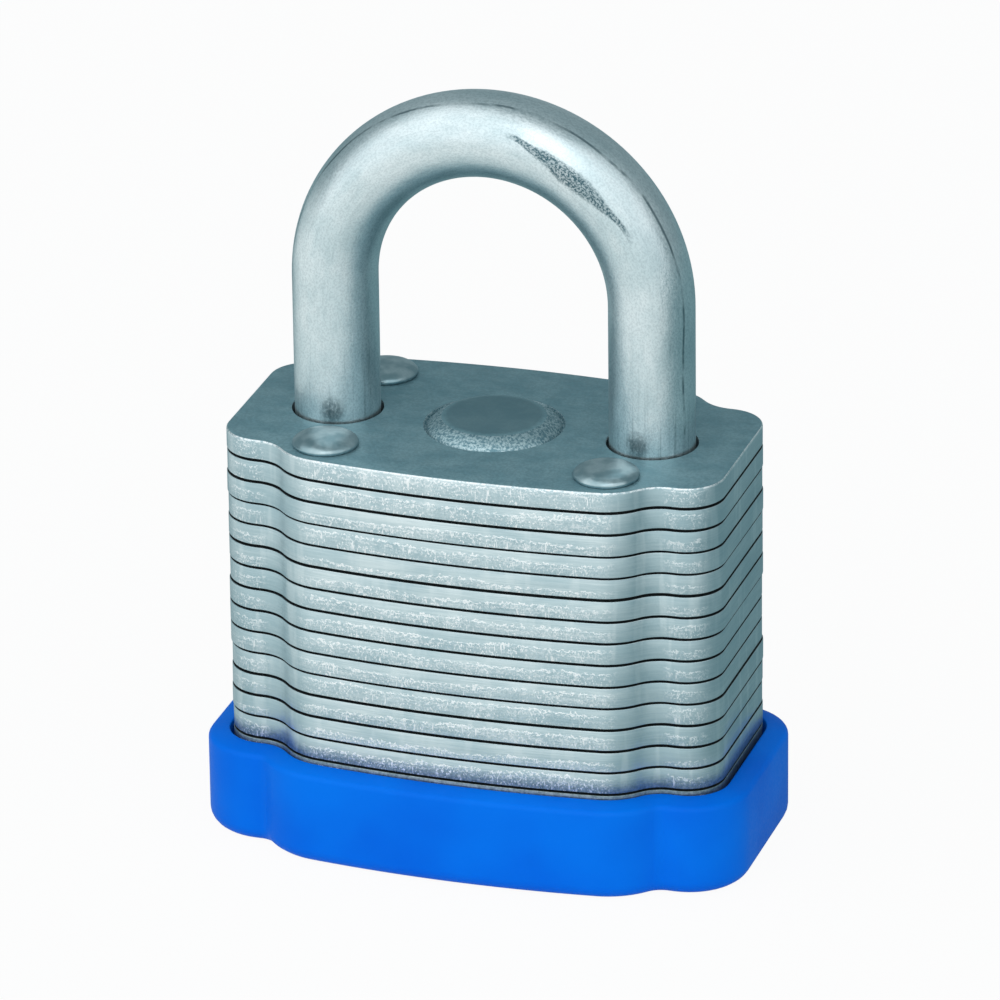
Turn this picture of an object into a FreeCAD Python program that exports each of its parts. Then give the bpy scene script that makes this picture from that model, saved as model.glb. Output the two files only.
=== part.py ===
import FreeCAD, Part
import math
import os

from FreeCAD import Placement, Rotation, Vector

# Laminated padlock with a shackle, a plastic bumper base and a pin tumbler cylinder.
# Millimetres. +X runs from the heel leg to the toe leg, -Y is the front, +Z is up.
# The origin is the middle of the base's underside. The lock is modelled closed with
# its plug turned to the open position, so the bolts are drawn in.

# ---- driving dimensions: body -------------------------------------------------
PLATE_COUNT = 17
PLATE_T = 1.895
BODY_HALF_WIDTH = 20.88
SHOULDER_Y = 8.45
BULGE_Y = 11.81
CROWN_R = 100.0
WAVE_MID_X = 14.89
WAVE_ANGLE = 46.5
CREST_R = 4.7
VALLEY_R = 3.2
CORNER_R = 3.2
PLATE_EDGE_CHAMFER = 0.12
TOP_PLATE_ROUND = 0.45

# ---- driving dimensions: boss on the top plate --------------------------------
BOSS_BASE_R = 5.1
BOSS_TOP_R = 4.35
BOSS_HEIGHT = 0.85
BOSS_GROOVE_R = 5.6
BOSS_GROOVE_DEPTH = 0.3

# ---- driving dimensions: bumper base ------------------------------------------
BASE_FLOOR_T = 2.9
BASE_WALL = 1.9
BASE_LIP_Z = 8.35
BASE_FIT = 0.12
BASE_END_FIT = 0.22
BASE_BOTTOM_ROUND = 1.4
BASE_LIP_ROUND = 0.7

# ---- driving dimensions: shackle ----------------------------------------------
BAR_D = 7.0
LEG_SPACING = 26.6
ARCH_CENTRE_ABOVE_TOP = 11.77
SHACKLE_HOLE_CLEARANCE = 0.25
NOTCH_DEPTH = 1.9
NOTCH_END_CLEARANCE = 0.2
TOE_LUG = 2.5
TOE_CHAMFER = 0.8
TOE_END_CLEARANCE = 0.6
HEEL_LAND = 1.6
HEEL_STOP_T = 2.0
HEEL_CHAMFER = 0.5

# ---- driving dimensions: rivets -----------------------------------------------
RIVET_X = 11.78
RIVET_Y = 7.7
RIVET_SHANK_R = 1.5
RIVET_HOLE_CLEARANCE = 0.05
RIVET_HEAD_R = 2.7
RIVET_HEAD_H = 0.95
RIVET_HEAD_RIM = 0.25
RIVET_POCKET_CLEARANCE = 0.3

# ---- driving dimensions: cylinder ---------------------------------------------
PLUG_R = 4.95
PLUG_FIT = 0.05
PLUG_FLANGE_R = 5.6
PLUG_FLANGE_T = 1.75
PLUG_FACE_INSET = 0.1
PLUG_STUB_R = 3.0
CHAMBER_PLATES = 10
HOUSING_WALL = 2.2
TOWER_HALF_WIDTH = 2.6
TOWER_REACH = 10.9
HOUSING_FIT = 0.05
KEYWAY_WIDTH = 1.9
KEYWAY_LOW = 3.6
KEYWAY_HIGH = 3.0
KEYWAY_WARD = 0.7
PIN_R = 1.35
PIN_FIT = 0.08
PIN_COUNT = 4
PIN_FIRST_Z = 8.2
PIN_PITCH = 4.0
PIN_BORE_END = 0.3
SHEAR_INSET = 0.30
KEY_PIN_LENGTHS = (3.1, 3.7, 2.8, 3.4)
KEY_PIN_TIP_R = 0.5
DRIVER_GAP = 0.1
DRIVER_LENGTH = 2.8
COVER_T = 0.6
DRIVER_SPRING_WIRE_R = 0.13
DRIVER_SPRING_TURNS = 4
CLIP_T = 0.7
CLIP_OUTER_R = 4.5
CLIP_GROOVE_DEPTH = 0.55
CLIP_FIT = 0.05

# ---- driving dimensions: bolts and cam ----------------------------------------
BOLT_PLATES = 2
BOLT_TOP_PLATE = 15
BOLT_TRAVEL = 1.9
BOLT_ENGAGEMENT = 1.6
BOLT_SIDE_FIT = 0.1
BOLT_HALF_WIDTH = 2.6
BOLT_WEB = 1.5
CAM_LOW = 2.0
CAM_GAP = 0.15
ARM_INNER_Y = 4.45
ARM_OUTER_Y = 7.0
TAIL_T = 1.3
TAIL_GAP = 0.3
TAIL_REACH = 1.9
POCKET_FIT = 0.25
TENON_HALF = 1.2
TENON_FIT = 0.02
BOLT_SPRING_R = 0.8
BOLT_SPRING_WIRE_R = 0.16
BOLT_SPRING_TURNS = 4
BOLT_SPRING_SEAT = 1.7

# ---- driving dimensions: heel retainer and ejector spring ---------------------
RETAINER_PLATE = 12
RETAINER_FIT = 0.1
RETAINER_HALF_WIDTH = 4.9
RETAINER_LENGTH = 10.6
RETAINER_SLOT_CLEARANCE = 0.3
EJECTOR_R = 2.6
EJECTOR_WIRE_R = 0.4
EJECTOR_TURNS = 5
EJECTOR_GAP = 0.15

# ---- related sizes ------------------------------------------------------------
STACK_Z = BASE_FLOOR_T
TOP_Z = STACK_Z + PLATE_COUNT * PLATE_T
LEG_X = LEG_SPACING / 2
BAR_R = BAR_D / 2
HOLE_R = BAR_R + SHACKLE_HOLE_CLEARANCE
ARCH_Z = TOP_Z + ARCH_CENTRE_ABOVE_TOP
BOLT_FLOOR_Z = STACK_Z + (BOLT_TOP_PLATE - BOLT_PLATES) * PLATE_T
BOLT_CEILING_Z = STACK_Z + BOLT_TOP_PLATE * PLATE_T
BOLT_LOW_Z = BOLT_FLOOR_Z + BOLT_SIDE_FIT
BOLT_HIGH_Z = BOLT_CEILING_Z - BOLT_SIDE_FIT
NOTCH_LOW_Z = BOLT_LOW_Z - NOTCH_END_CLEARANCE
NOTCH_HIGH_Z = BOLT_HIGH_Z + NOTCH_END_CLEARANCE
TOE_END_Z = NOTCH_LOW_Z - TOE_LUG
LIFT = TOP_Z - TOE_END_Z + TOE_END_CLEARANCE
NECK_R = BAR_R - NOTCH_DEPTH
NECK_TOP_Z = NOTCH_LOW_Z - HEEL_LAND
RETAINER_LOW_Z = STACK_Z + (RETAINER_PLATE - 1) * PLATE_T
RETAINER_HIGH_Z = RETAINER_LOW_Z + PLATE_T
HEEL_STOP_Z = RETAINER_LOW_Z + RETAINER_FIT - LIFT - NOTCH_END_CLEARANCE
HEEL_END_Z = HEEL_STOP_Z - HEEL_STOP_T
SPRING_SEAT_Z = STACK_Z + PLATE_T
CHAMBER_LOW_Z = STACK_Z + PLATE_T
CHAMBER_HIGH_Z = CHAMBER_LOW_Z + CHAMBER_PLATES * PLATE_T
HOUSING_R = PLUG_R + PLUG_FIT + HOUSING_WALL
CAM_RISE = BOLT_TRAVEL / (math.pi / 2)
CAM_HIGH = CAM_LOW + BOLT_TRAVEL
CAM_REACH = math.hypot(CAM_HIGH, CAM_RISE)
TAIL_FACE = CAM_HIGH + CAM_GAP
HEAD_BACK = TAIL_FACE + TAIL_T + TAIL_GAP
LEG_FACE = LEG_X - BAR_R
HEAD_TIP = LEG_FACE + BOLT_ENGAGEMENT - BOLT_TRAVEL
EPS = 0.01
OVERRUN = 1.0


def save(shape, node):
    """Writes one piece to its own file."""
    shape.exportStep("parts/" + node + ".step")


def cylinder(radius, low, high, x=0.0, y=0.0):
    return Part.makeCylinder(radius, high - low, Vector(x, y, low))


def box(x0, x1, y0, y1, z0, z1):
    return Part.makeBox(x1 - x0, y1 - y0, z1 - z0, Vector(x0, y0, z0))


def revolve(points):
    """Turns a closed outline of (radius, z) points about the Z axis."""
    outline = [Vector(r, 0, z) for r, z in points]
    face = Part.Face(Part.makePolygon(outline + outline[:1]))
    return face.revolve(Vector(0, 0, 0), Vector(0, 0, 1), 360)


def turned(shape, degrees):
    """The shape turned about the Z axis."""
    copy = shape.copy()
    copy.rotate(Vector(0, 0, 0), Vector(0, 0, 1), degrees)
    return copy


def wave_arcs(grow, grow_ends):
    """Arcs of one quarter of a lamination's outline: crest, valley and corner.

    Each arc is its centre, its radius and its first and last angle. The crest is tangent
    to the crown and to the slope, and the valley to the slope and to the shoulder, so
    growing the outline changes the radii and leaves the centres. A hollow arc has a
    negative radius.
    """
    slope = math.radians(WAVE_ANGLE)
    normal = Vector(math.sin(slope), math.cos(slope), 0)
    along = Vector(math.cos(slope), -math.sin(slope), 0)
    crown_centre = Vector(0, BULGE_Y - CROWN_R, 0)
    crown_y = crown_centre.y + math.sqrt(CROWN_R ** 2 - WAVE_MID_X ** 2)
    middle = Vector(WAVE_MID_X, (crown_y + SHOULDER_Y) / 2, 0)
    reach = middle - normal * CREST_R - crown_centre
    shift = -reach.dot(along)
    shift -= math.sqrt(shift ** 2 - reach.dot(reach) + (CROWN_R - CREST_R) ** 2)
    crest = middle - normal * CREST_R + along * shift
    crest_start = math.atan2(crest.y - crown_centre.y, crest.x)
    slope_angle = math.pi / 2 - slope
    valley_y = SHOULDER_Y + VALLEY_R
    valley_x = WAVE_MID_X + (VALLEY_R - (valley_y - middle.y) * normal.y) / normal.x
    corner_x = BODY_HALF_WIDTH - CORNER_R + grow_ends - grow
    return [(crest, CREST_R + grow, crest_start, slope_angle),
            (Vector(valley_x, valley_y, 0), grow - VALLEY_R, slope_angle, math.pi / 2),
            (Vector(corner_x, SHOULDER_Y - CORNER_R, 0), CORNER_R + grow, math.pi / 2, 0.0)]


def body_wire(grow, grow_ends, z):
    """The wavy outline of a lamination, grown by a margin on every side.

    The ends are straight, the shoulders stand back, and the front and the back
    bulge out past the rivets in a flat crown. grow_ends is the margin at the ends.
    """
    quarter = []
    arcs = wave_arcs(grow, grow_ends)
    for centre, radius, first, last in arcs:
        angles = (first, (first + last) / 2, last)
        quarter.append([centre + Vector(math.cos(a), math.sin(a), 0) * radius for a in angles])
    start = quarter[0][0]
    crown = [Vector(-start.x, start.y, 0), Vector(0, BULGE_Y + grow, 0), start]

    def flipped(curves, x_sign, y_sign):
        return [[Vector(p.x * x_sign, p.y * y_sign, 0) for p in curve] for curve in curves]

    def backwards(curves):
        return [curve[::-1] for curve in curves[::-1]]

    loop = [crown] + quarter + backwards(flipped(quarter, 1, -1))
    loop += flipped([crown], -1, -1) + flipped(quarter, -1, -1) + backwards(flipped(quarter, -1, 1))
    edges = []
    for i, curve in enumerate(loop):
        following = loop[(i + 1) % len(loop)][0]
        edges.append(Part.Arc(*curve).toShape())
        if following.distanceToPoint(curve[-1]) > EPS:
            edges.append(Part.makeLine(curve[-1], following))
    wire = Part.Wire(edges)
    wire.translate(Vector(0, 0, z))
    return wire


def body_prism(grow, grow_ends, low, high):
    """A block with the outline of a lamination."""
    face = Part.Face(body_wire(grow, grow_ends, low))
    return face.extrude(Vector(0, 0, high - low))


def outer_edges(shape, z):
    """Edges of a block's wavy outline at one height."""
    found = []
    for edge in shape.Edges:
        bounds = edge.BoundBox
        flat = abs(bounds.ZMin - z) < EPS and abs(bounds.ZMax - z) < EPS
        if flat:
            found.append(edge)
    return found


def coil(radius, wire_radius, length, turns):
    """A coil spring that stands on z = 0, with its wire inside the length."""
    rise = length - 2 * wire_radius
    helix = Part.makeLongHelix(rise / turns, rise, radius)
    section = Part.Wire(Part.makeCircle(wire_radius, Vector(radius, 0, 0), Vector(0, 1, 0)))
    spring = Part.Wire(helix).makePipeShell([section], True, True)
    spring.translate(Vector(0, 0, wire_radius))
    return spring


# ---- laminations --------------------------------------------------------------
def tower_block(margin, low, high):
    """The keyhole shape of the cylinder housing, grown by a margin."""
    barrel = cylinder(HOUSING_R + margin, low, high)
    tower = box(-TOWER_HALF_WIDTH - margin, TOWER_HALF_WIDTH + margin,
                0, TOWER_REACH + margin, low, high)
    return barrel.fuse(tower).removeSplitter()


def bolt_pocket(low, high):
    """The space in which both bolts and the cam work."""
    arm_end = HEAD_BACK + BOLT_WEB + BOLT_TRAVEL + POCKET_FIT
    middle = box(-arm_end, arm_end, -ARM_OUTER_Y - POCKET_FIT, ARM_OUTER_Y + POCKET_FIT, low, high)
    channel = box(-LEG_X, LEG_X, -BOLT_HALF_WIDTH - POCKET_FIT, BOLT_HALF_WIDTH + POCKET_FIT, low, high)
    return middle.fuse(channel)


def retainer_shape(margin, low, high):
    """The heel clip's block: it reaches in from the heel end of the body."""
    x0 = -LEG_X - RETAINER_HALF_WIDTH - margin
    x1 = x0 + RETAINER_LENGTH + 2 * margin
    half = RETAINER_HALF_WIDTH + margin
    return box(x0, x1, -half, half, low, high)


def rivet_places():
    """Names and places of the four rivets."""
    return [("front_left", -RIVET_X, -RIVET_Y), ("front_right", RIVET_X, -RIVET_Y),
            ("back_left", -RIVET_X, RIVET_Y), ("back_right", RIVET_X, RIVET_Y)]


def lamination(number):
    """One plate of the stack, counted from the bottom, with the holes of its level."""
    low = STACK_Z + (number - 1) * PLATE_T
    high = low + PLATE_T
    below = low - OVERRUN
    above = high + OVERRUN
    plate = body_prism(0, 0, low, high)
    if number == PLATE_COUNT:
        plate = plate.makeFillet(TOP_PLATE_ROUND, outer_edges(plate, high))
        plate = plate.makeChamfer(PLATE_EDGE_CHAMFER, outer_edges(plate, low))
    else:
        rims = outer_edges(plate, low) + outer_edges(plate, high)
        plate = plate.makeChamfer(PLATE_EDGE_CHAMFER, rims)
    for _, x, y in rivet_places():
        plate = plate.cut(cylinder(RIVET_SHANK_R + RIVET_HOLE_CLEARANCE, below, above, x, y))
    if low + EPS > SPRING_SEAT_Z:
        plate = plate.cut(cylinder(HOLE_R, below, above, -LEG_X))
    if high > TOE_END_Z:
        plate = plate.cut(cylinder(HOLE_R, below, above, LEG_X))
    if number == 1:
        plate = plate.cut(cylinder(PLUG_FLANGE_R + CAM_GAP, below, above))
    elif high < CHAMBER_HIGH_Z + EPS:
        plate = plate.cut(tower_block(HOUSING_FIT, below, above))
    elif high < BOLT_FLOOR_Z - PLATE_T + EPS:
        plate = plate.cut(cylinder(CLIP_OUTER_R + POCKET_FIT, below, above))
    elif high < BOLT_FLOOR_Z + EPS:
        plate = plate.cut(cylinder(PLUG_STUB_R + CAM_GAP, below, above))
    elif high < BOLT_CEILING_Z + EPS:
        plate = plate.cut(bolt_pocket(below, above))
    if number == RETAINER_PLATE:
        plate = plate.cut(retainer_shape(RETAINER_FIT, below, above))
    if number == PLATE_COUNT:
        ring = cylinder(BOSS_GROOVE_R, high - BOSS_GROOVE_DEPTH, above)
        plate = plate.cut(ring.cut(cylinder(BOSS_BASE_R, below, above)))
        boss = Part.makeCone(BOSS_BASE_R, BOSS_TOP_R, BOSS_HEIGHT, Vector(0, 0, high))
        plate = plate.fuse(boss).removeSplitter()
    return plate


def rivet(x, y):
    """A rivet through the whole stack, closed to a low dome at both ends."""
    shank = cylinder(RIVET_SHANK_R, STACK_Z - EPS, TOP_Z + EPS)
    dome_h = RIVET_HEAD_H - RIVET_HEAD_RIM
    ball_r = (RIVET_HEAD_R ** 2 + dome_h ** 2) / (2 * dome_h)
    ball = Part.makeSphere(ball_r, Vector(0, 0, TOP_Z + RIVET_HEAD_H - ball_r))
    head = ball.common(cylinder(RIVET_HEAD_R, TOP_Z, TOP_Z + RIVET_HEAD_H + EPS))
    middle_z = (STACK_Z + TOP_Z) / 2
    foot = head.mirror(Vector(0, 0, middle_z), Vector(0, 0, 1))
    whole = shank.fuse([head, foot]).removeSplitter()
    whole.translate(Vector(x, y, 0))
    return whole


# ---- bumper base --------------------------------------------------------------
def bumper():
    """The moulded cup round the foot of the body, open for the plug below."""
    outer = body_prism(BASE_WALL, BASE_WALL + BASE_END_FIT, 0, BASE_LIP_Z)
    outer = outer.makeFillet(BASE_BOTTOM_ROUND, outer_edges(outer, 0))
    outer = outer.makeFillet(BASE_LIP_ROUND, outer_edges(outer, BASE_LIP_Z))
    cup = outer.cut(body_prism(BASE_FIT, BASE_END_FIT, STACK_Z, BASE_LIP_Z + OVERRUN))
    cup = cup.cut(cylinder(PLUG_FLANGE_R + POCKET_FIT, -OVERRUN, STACK_Z + OVERRUN))
    pocket_low = STACK_Z - RIVET_HEAD_H - RIVET_POCKET_CLEARANCE
    for _, x, y in rivet_places():
        cup = cup.cut(cylinder(RIVET_HEAD_R + RIVET_POCKET_CLEARANCE, pocket_low, STACK_Z + EPS, x, y))
    return cup


# ---- shackle ------------------------------------------------------------------
def notch(x, side):
    """The recess that a bolt enters, on the side of a leg that faces the middle."""
    flat = x + side * (BAR_R - NOTCH_DEPTH)
    edge = x + side * (BAR_R + OVERRUN)
    return box(min(flat, edge), max(flat, edge), -BAR_D, BAR_D, NOTCH_LOW_Z, NOTCH_HIGH_Z)


def shackle():
    """Round bar bent to an arch, with a short toe leg and a long heel leg."""
    toe = revolve([(0, TOE_END_Z), (BAR_R - TOE_CHAMFER, TOE_END_Z), (BAR_R, TOE_END_Z + TOE_CHAMFER),
                   (BAR_R, ARCH_Z), (0, ARCH_Z)])
    toe.translate(Vector(LEG_X, 0, 0))
    heel = revolve([(0, HEEL_END_Z), (BAR_R - HEEL_CHAMFER, HEEL_END_Z),
                    (BAR_R, HEEL_END_Z + HEEL_CHAMFER), (BAR_R, HEEL_STOP_Z),
                    (NECK_R, HEEL_STOP_Z), (NECK_R, NECK_TOP_Z), (BAR_R, NECK_TOP_Z),
                    (BAR_R, ARCH_Z), (0, ARCH_Z)])
    heel.translate(Vector(-LEG_X, 0, 0))
    circle = Part.Face(Part.Wire(Part.makeCircle(BAR_R, Vector(LEG_X, 0, ARCH_Z), Vector(0, 0, 1))))
    arch = circle.revolve(Vector(0, 0, ARCH_Z), Vector(0, -1, 0), 180)
    whole = arch.fuse([toe, heel]).removeSplitter()
    return whole.cut([notch(LEG_X, -1), notch(-LEG_X, 1)])


def heel_retainer():
    """A horseshoe clip round the heel leg's neck, which stops the leg coming out."""
    low = RETAINER_LOW_Z + RETAINER_FIT
    high = RETAINER_HIGH_Z - RETAINER_FIT
    block = retainer_shape(0, low, high)
    slot_r = NECK_R + RETAINER_SLOT_CLEARANCE
    bore = cylinder(slot_r, low - OVERRUN, high + OVERRUN, -LEG_X)
    slot = box(-LEG_X - RETAINER_LENGTH, -LEG_X, -slot_r, slot_r, low - OVERRUN, high + OVERRUN)
    return block.cut([bore, slot])


def ejector_spring():
    """The compressed coil under the heel leg."""
    length = HEEL_END_Z - SPRING_SEAT_Z - 2 * EJECTOR_GAP
    spring = coil(EJECTOR_R, EJECTOR_WIRE_R, length, EJECTOR_TURNS)
    spring.translate(Vector(-LEG_X, 0, SPRING_SEAT_Z + EJECTOR_GAP))
    return spring


# ---- cylinder -----------------------------------------------------------------
def pin_heights():
    return [PIN_FIRST_Z + i * PIN_PITCH for i in range(PIN_COUNT)]


def across(radius, start, end, z):
    """A round bar or bore along +Y, which is the way the pin stacks run."""
    return Part.makeCylinder(radius, end - start, Vector(0, start, z), Vector(0, 1, 0))


def cylinder_housing():
    """The fixed shell round the plug, with the tower that holds the driver pins."""
    low = CHAMBER_LOW_Z + HOUSING_FIT
    high = CHAMBER_HIGH_Z - HOUSING_FIT
    shell = tower_block(0, low, high).cut(cylinder(PLUG_R + PLUG_FIT, low - OVERRUN, high + OVERRUN))
    for z in pin_heights():
        shell = shell.cut(across(PIN_R + PIN_FIT, 0, TOWER_REACH - COVER_T, z))
    slot_half = PIN_R + PIN_FIT
    slot = box(-slot_half, slot_half, TOWER_REACH - COVER_T, TOWER_REACH + OVERRUN,
               low - OVERRUN, high + OVERRUN)
    return shell.cut(slot)


def pin_chamber_cover():
    """The strip that closes the outer ends of the pin chambers."""
    half = PIN_R + PIN_FIT - HOUSING_FIT
    return box(-half, half, TOWER_REACH - COVER_T, TOWER_REACH,
               CHAMBER_LOW_Z + HOUSING_FIT, CHAMBER_HIGH_Z - HOUSING_FIT)


def plug_frame(shape):
    """Takes a piece drawn with its pins along +Y to the plug's open position."""
    return turned(shape, 90)


def cylinder_plug():
    """The turning plug with its flange, keyway, pin bores, clip groove and tenon."""
    flange_low = STACK_Z + PLUG_FACE_INSET
    flange_high = flange_low + PLUG_FLANGE_T
    clip_low = CHAMBER_HIGH_Z + CLIP_FIT
    groove_r = PLUG_STUB_R - CLIP_GROOVE_DEPTH
    stub_top = BOLT_LOW_Z
    plug = revolve([(0, flange_low), (PLUG_FLANGE_R, flange_low), (PLUG_FLANGE_R, flange_high),
                    (PLUG_R, flange_high), (PLUG_R, CHAMBER_HIGH_Z), (groove_r, CHAMBER_HIGH_Z),
                    (groove_r, clip_low + CLIP_T + CLIP_FIT), (PLUG_STUB_R, clip_low + CLIP_T + CLIP_FIT),
                    (PLUG_STUB_R, stub_top), (0, stub_top)])
    tenon = box(-TENON_HALF, TENON_HALF, -TENON_HALF, TENON_HALF, stub_top, BOLT_HIGH_Z - CLIP_FIT)
    plug = plug.fuse(tenon)
    keyway_top = CHAMBER_HIGH_Z - PLATE_T
    half = KEYWAY_WIDTH / 2
    upper = box(-half, half, -KEYWAY_WARD, KEYWAY_HIGH, 0, keyway_top)
    lower = box(-half - KEYWAY_WARD, half - KEYWAY_WARD, -KEYWAY_LOW, 0, 0, keyway_top)
    plug = plug.cut([upper, lower])
    for z in pin_heights():
        plug = plug.cut(across(PIN_R + PIN_FIT, PIN_BORE_END, PLUG_R + OVERRUN, z))
    return plug_frame(plug)


def key_pin(length, z):
    """A key pin with a blunt cone for its tip, its flat end just under the shear line."""
    outer_end = PLUG_R - SHEAR_INSET
    cone_h = PIN_R - KEY_PIN_TIP_R
    tip = outer_end - length
    pin = revolve([(0, tip), (KEY_PIN_TIP_R, tip), (PIN_R, tip + cone_h), (PIN_R, outer_end), (0, outer_end)])
    pin.rotate(Vector(0, 0, 0), Vector(1, 0, 0), -90)
    pin.translate(Vector(0, 0, z))
    return plug_frame(pin)


def driver_pin(z):
    start = PLUG_R + DRIVER_GAP
    return across(PIN_R, start, start + DRIVER_LENGTH, z)


def driver_spring(z):
    start = PLUG_R + 2 * DRIVER_GAP + DRIVER_LENGTH
    length = TOWER_REACH - COVER_T - DRIVER_GAP - start
    spring = coil(PIN_R - DRIVER_GAP - DRIVER_SPRING_WIRE_R, DRIVER_SPRING_WIRE_R, length, DRIVER_SPRING_TURNS)
    spring.rotate(Vector(0, 0, 0), Vector(1, 0, 0), -90)
    spring.translate(Vector(0, start, z))
    return spring


def plug_clip():
    """The open ring in the plug's groove that rests on the housing."""
    low = CHAMBER_HIGH_Z + CLIP_FIT
    inner = PLUG_STUB_R - CLIP_GROOVE_DEPTH + CLIP_FIT
    ring = cylinder(CLIP_OUTER_R, low, low + CLIP_T).cut(cylinder(inner, low - OVERRUN, low + OVERRUN))
    mouth = box(-inner, inner, -CLIP_OUTER_R - OVERRUN, 0, low - OVERRUN, low + OVERRUN)
    return ring.cut(mouth)


# ---- bolts and cam ------------------------------------------------------------
def bolt_cam():
    """A two-lobed cam whose flanks are involutes, so a quarter turn moves each bolt evenly."""
    steps = 12
    lobe = []
    for i in range(steps + 1):
        angle = math.pi + (math.pi / 2) * i / steps
        reach = CAM_HIGH - CAM_RISE * (angle - math.pi)
        lobe.append(Vector(reach * math.cos(angle) + CAM_RISE * math.sin(angle),
                           reach * math.sin(angle) - CAM_RISE * math.cos(angle), 0))
    other = [Vector(-p.x, -p.y, 0) for p in lobe]
    edges = []
    for near, far in ((lobe, other), (other, lobe)):
        flank = Part.BSplineCurve()
        flank.interpolate(near)
        edges.append(flank.toShape())
        edges.append(Part.makeLine(near[-1], far[0]))
    cam = Part.Face(Part.Wire(edges)).extrude(Vector(0, 0, BOLT_HIGH_Z - BOLT_LOW_Z - 2 * CLIP_FIT))
    cam.translate(Vector(0, 0, BOLT_LOW_Z + CLIP_FIT))
    hole = TENON_HALF + TENON_FIT
    return cam.cut(box(-hole, hole, -hole, hole, 0, TOP_Z))


def toe_bolt():
    """The bolt on the toe side, drawn in: a head, an arm past the cam and a tail behind it."""
    low = BOLT_LOW_Z
    high = BOLT_HIGH_Z
    head = box(HEAD_BACK, HEAD_TIP, -BOLT_HALF_WIDTH, BOLT_HALF_WIDTH, low, high)
    web = box(HEAD_BACK, HEAD_BACK + BOLT_WEB, 0, ARM_OUTER_Y, low, high)
    arm = box(-TAIL_FACE - TAIL_T, HEAD_BACK + BOLT_WEB, ARM_INNER_Y, ARM_OUTER_Y, low, high)
    tail = box(-TAIL_FACE - TAIL_T, -TAIL_FACE, -TAIL_REACH, ARM_OUTER_Y, low, high)
    bolt = head.fuse([web, arm, tail]).removeSplitter()
    middle_z = (low + high) / 2
    seat = Part.makeCylinder(BOLT_SPRING_R + DRIVER_GAP, BOLT_SPRING_SEAT,
                             Vector(HEAD_BACK, 0, middle_z), Vector(1, 0, 0))
    return bolt.cut(seat)


def toe_bolt_spring():
    """The small coil between the toe bolt's head and the heel bolt's tail."""
    length = BOLT_SPRING_SEAT + TAIL_GAP - 2 * CLIP_FIT
    spring = coil(BOLT_SPRING_R - BOLT_SPRING_WIRE_R, BOLT_SPRING_WIRE_R, length, BOLT_SPRING_TURNS)
    spring.rotate(Vector(0, 0, 0), Vector(0, 1, 0), 90)
    spring.translate(Vector(HEAD_BACK - TAIL_GAP + CLIP_FIT, 0, (BOLT_LOW_Z + BOLT_HIGH_Z) / 2))
    return spring


def main():
    os.makedirs("parts", exist_ok=True)
    for number in range(1, PLATE_COUNT + 1):
        save(lamination(number), "plate_%02d" % number)
    for name, x, y in rivet_places():
        save(rivet(x, y), "rivet_" + name)
    save(bumper(), "base_bumper")
    save(shackle(), "shackle")
    save(heel_retainer(), "heel_retainer")
    save(ejector_spring(), "ejector_spring")
    save(cylinder_housing(), "cylinder_housing")
    save(pin_chamber_cover(), "pin_chamber_cover")
    save(cylinder_plug(), "cylinder_plug")
    save(plug_clip(), "plug_clip")
    for i, z in enumerate(pin_heights()):
        save(key_pin(KEY_PIN_LENGTHS[i], z), "key_pin_%d" % (i + 1))
        save(driver_pin(z), "driver_pin_%d" % (i + 1))
        save(driver_spring(z), "driver_spring_%d" % (i + 1))
    save(bolt_cam(), "bolt_cam")
    save(toe_bolt(), "toe_bolt")
    save(toe_bolt_spring(), "toe_bolt_spring")
    save(turned(toe_bolt(), 180), "heel_bolt")
    save(turned(toe_bolt_spring(), 180), "heel_bolt_spring")


main()
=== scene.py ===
"""Looks of a laminated padlock: sheared steel plates, riveted and clamped, in a moulded bumper base.

Metres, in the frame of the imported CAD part: +X from the heel leg to the toe leg, -Y the front,
+Z up, and the origin in the middle of the base's underside.
"""

import logging
import math
import random
from dataclasses import dataclass, field
from enum import Enum, IntEnum
from typing import Iterable, Sequence

import bmesh
import bpy
from mathutils import Matrix, Vector

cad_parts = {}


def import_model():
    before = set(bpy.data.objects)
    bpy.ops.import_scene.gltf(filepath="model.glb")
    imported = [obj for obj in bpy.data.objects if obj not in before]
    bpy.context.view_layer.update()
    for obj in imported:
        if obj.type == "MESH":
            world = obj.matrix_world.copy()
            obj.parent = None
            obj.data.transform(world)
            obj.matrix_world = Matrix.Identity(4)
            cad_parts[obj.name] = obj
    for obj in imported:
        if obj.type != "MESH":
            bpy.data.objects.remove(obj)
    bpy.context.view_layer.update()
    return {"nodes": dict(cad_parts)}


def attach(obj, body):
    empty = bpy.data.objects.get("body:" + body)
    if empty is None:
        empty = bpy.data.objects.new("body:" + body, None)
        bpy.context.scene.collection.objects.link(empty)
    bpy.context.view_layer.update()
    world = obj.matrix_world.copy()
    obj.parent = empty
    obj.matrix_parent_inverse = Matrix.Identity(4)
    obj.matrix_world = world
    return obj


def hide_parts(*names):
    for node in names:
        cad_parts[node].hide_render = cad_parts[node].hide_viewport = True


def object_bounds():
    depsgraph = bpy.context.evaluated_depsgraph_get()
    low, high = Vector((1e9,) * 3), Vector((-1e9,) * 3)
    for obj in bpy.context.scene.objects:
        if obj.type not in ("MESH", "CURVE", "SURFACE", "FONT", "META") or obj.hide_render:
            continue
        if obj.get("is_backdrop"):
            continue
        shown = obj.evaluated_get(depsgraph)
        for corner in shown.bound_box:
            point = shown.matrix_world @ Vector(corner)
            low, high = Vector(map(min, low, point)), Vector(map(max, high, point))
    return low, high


MM = 0.001
SMOOTH_ANGLE = 32.0
LOG = logging.getLogger("padlock")


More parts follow.
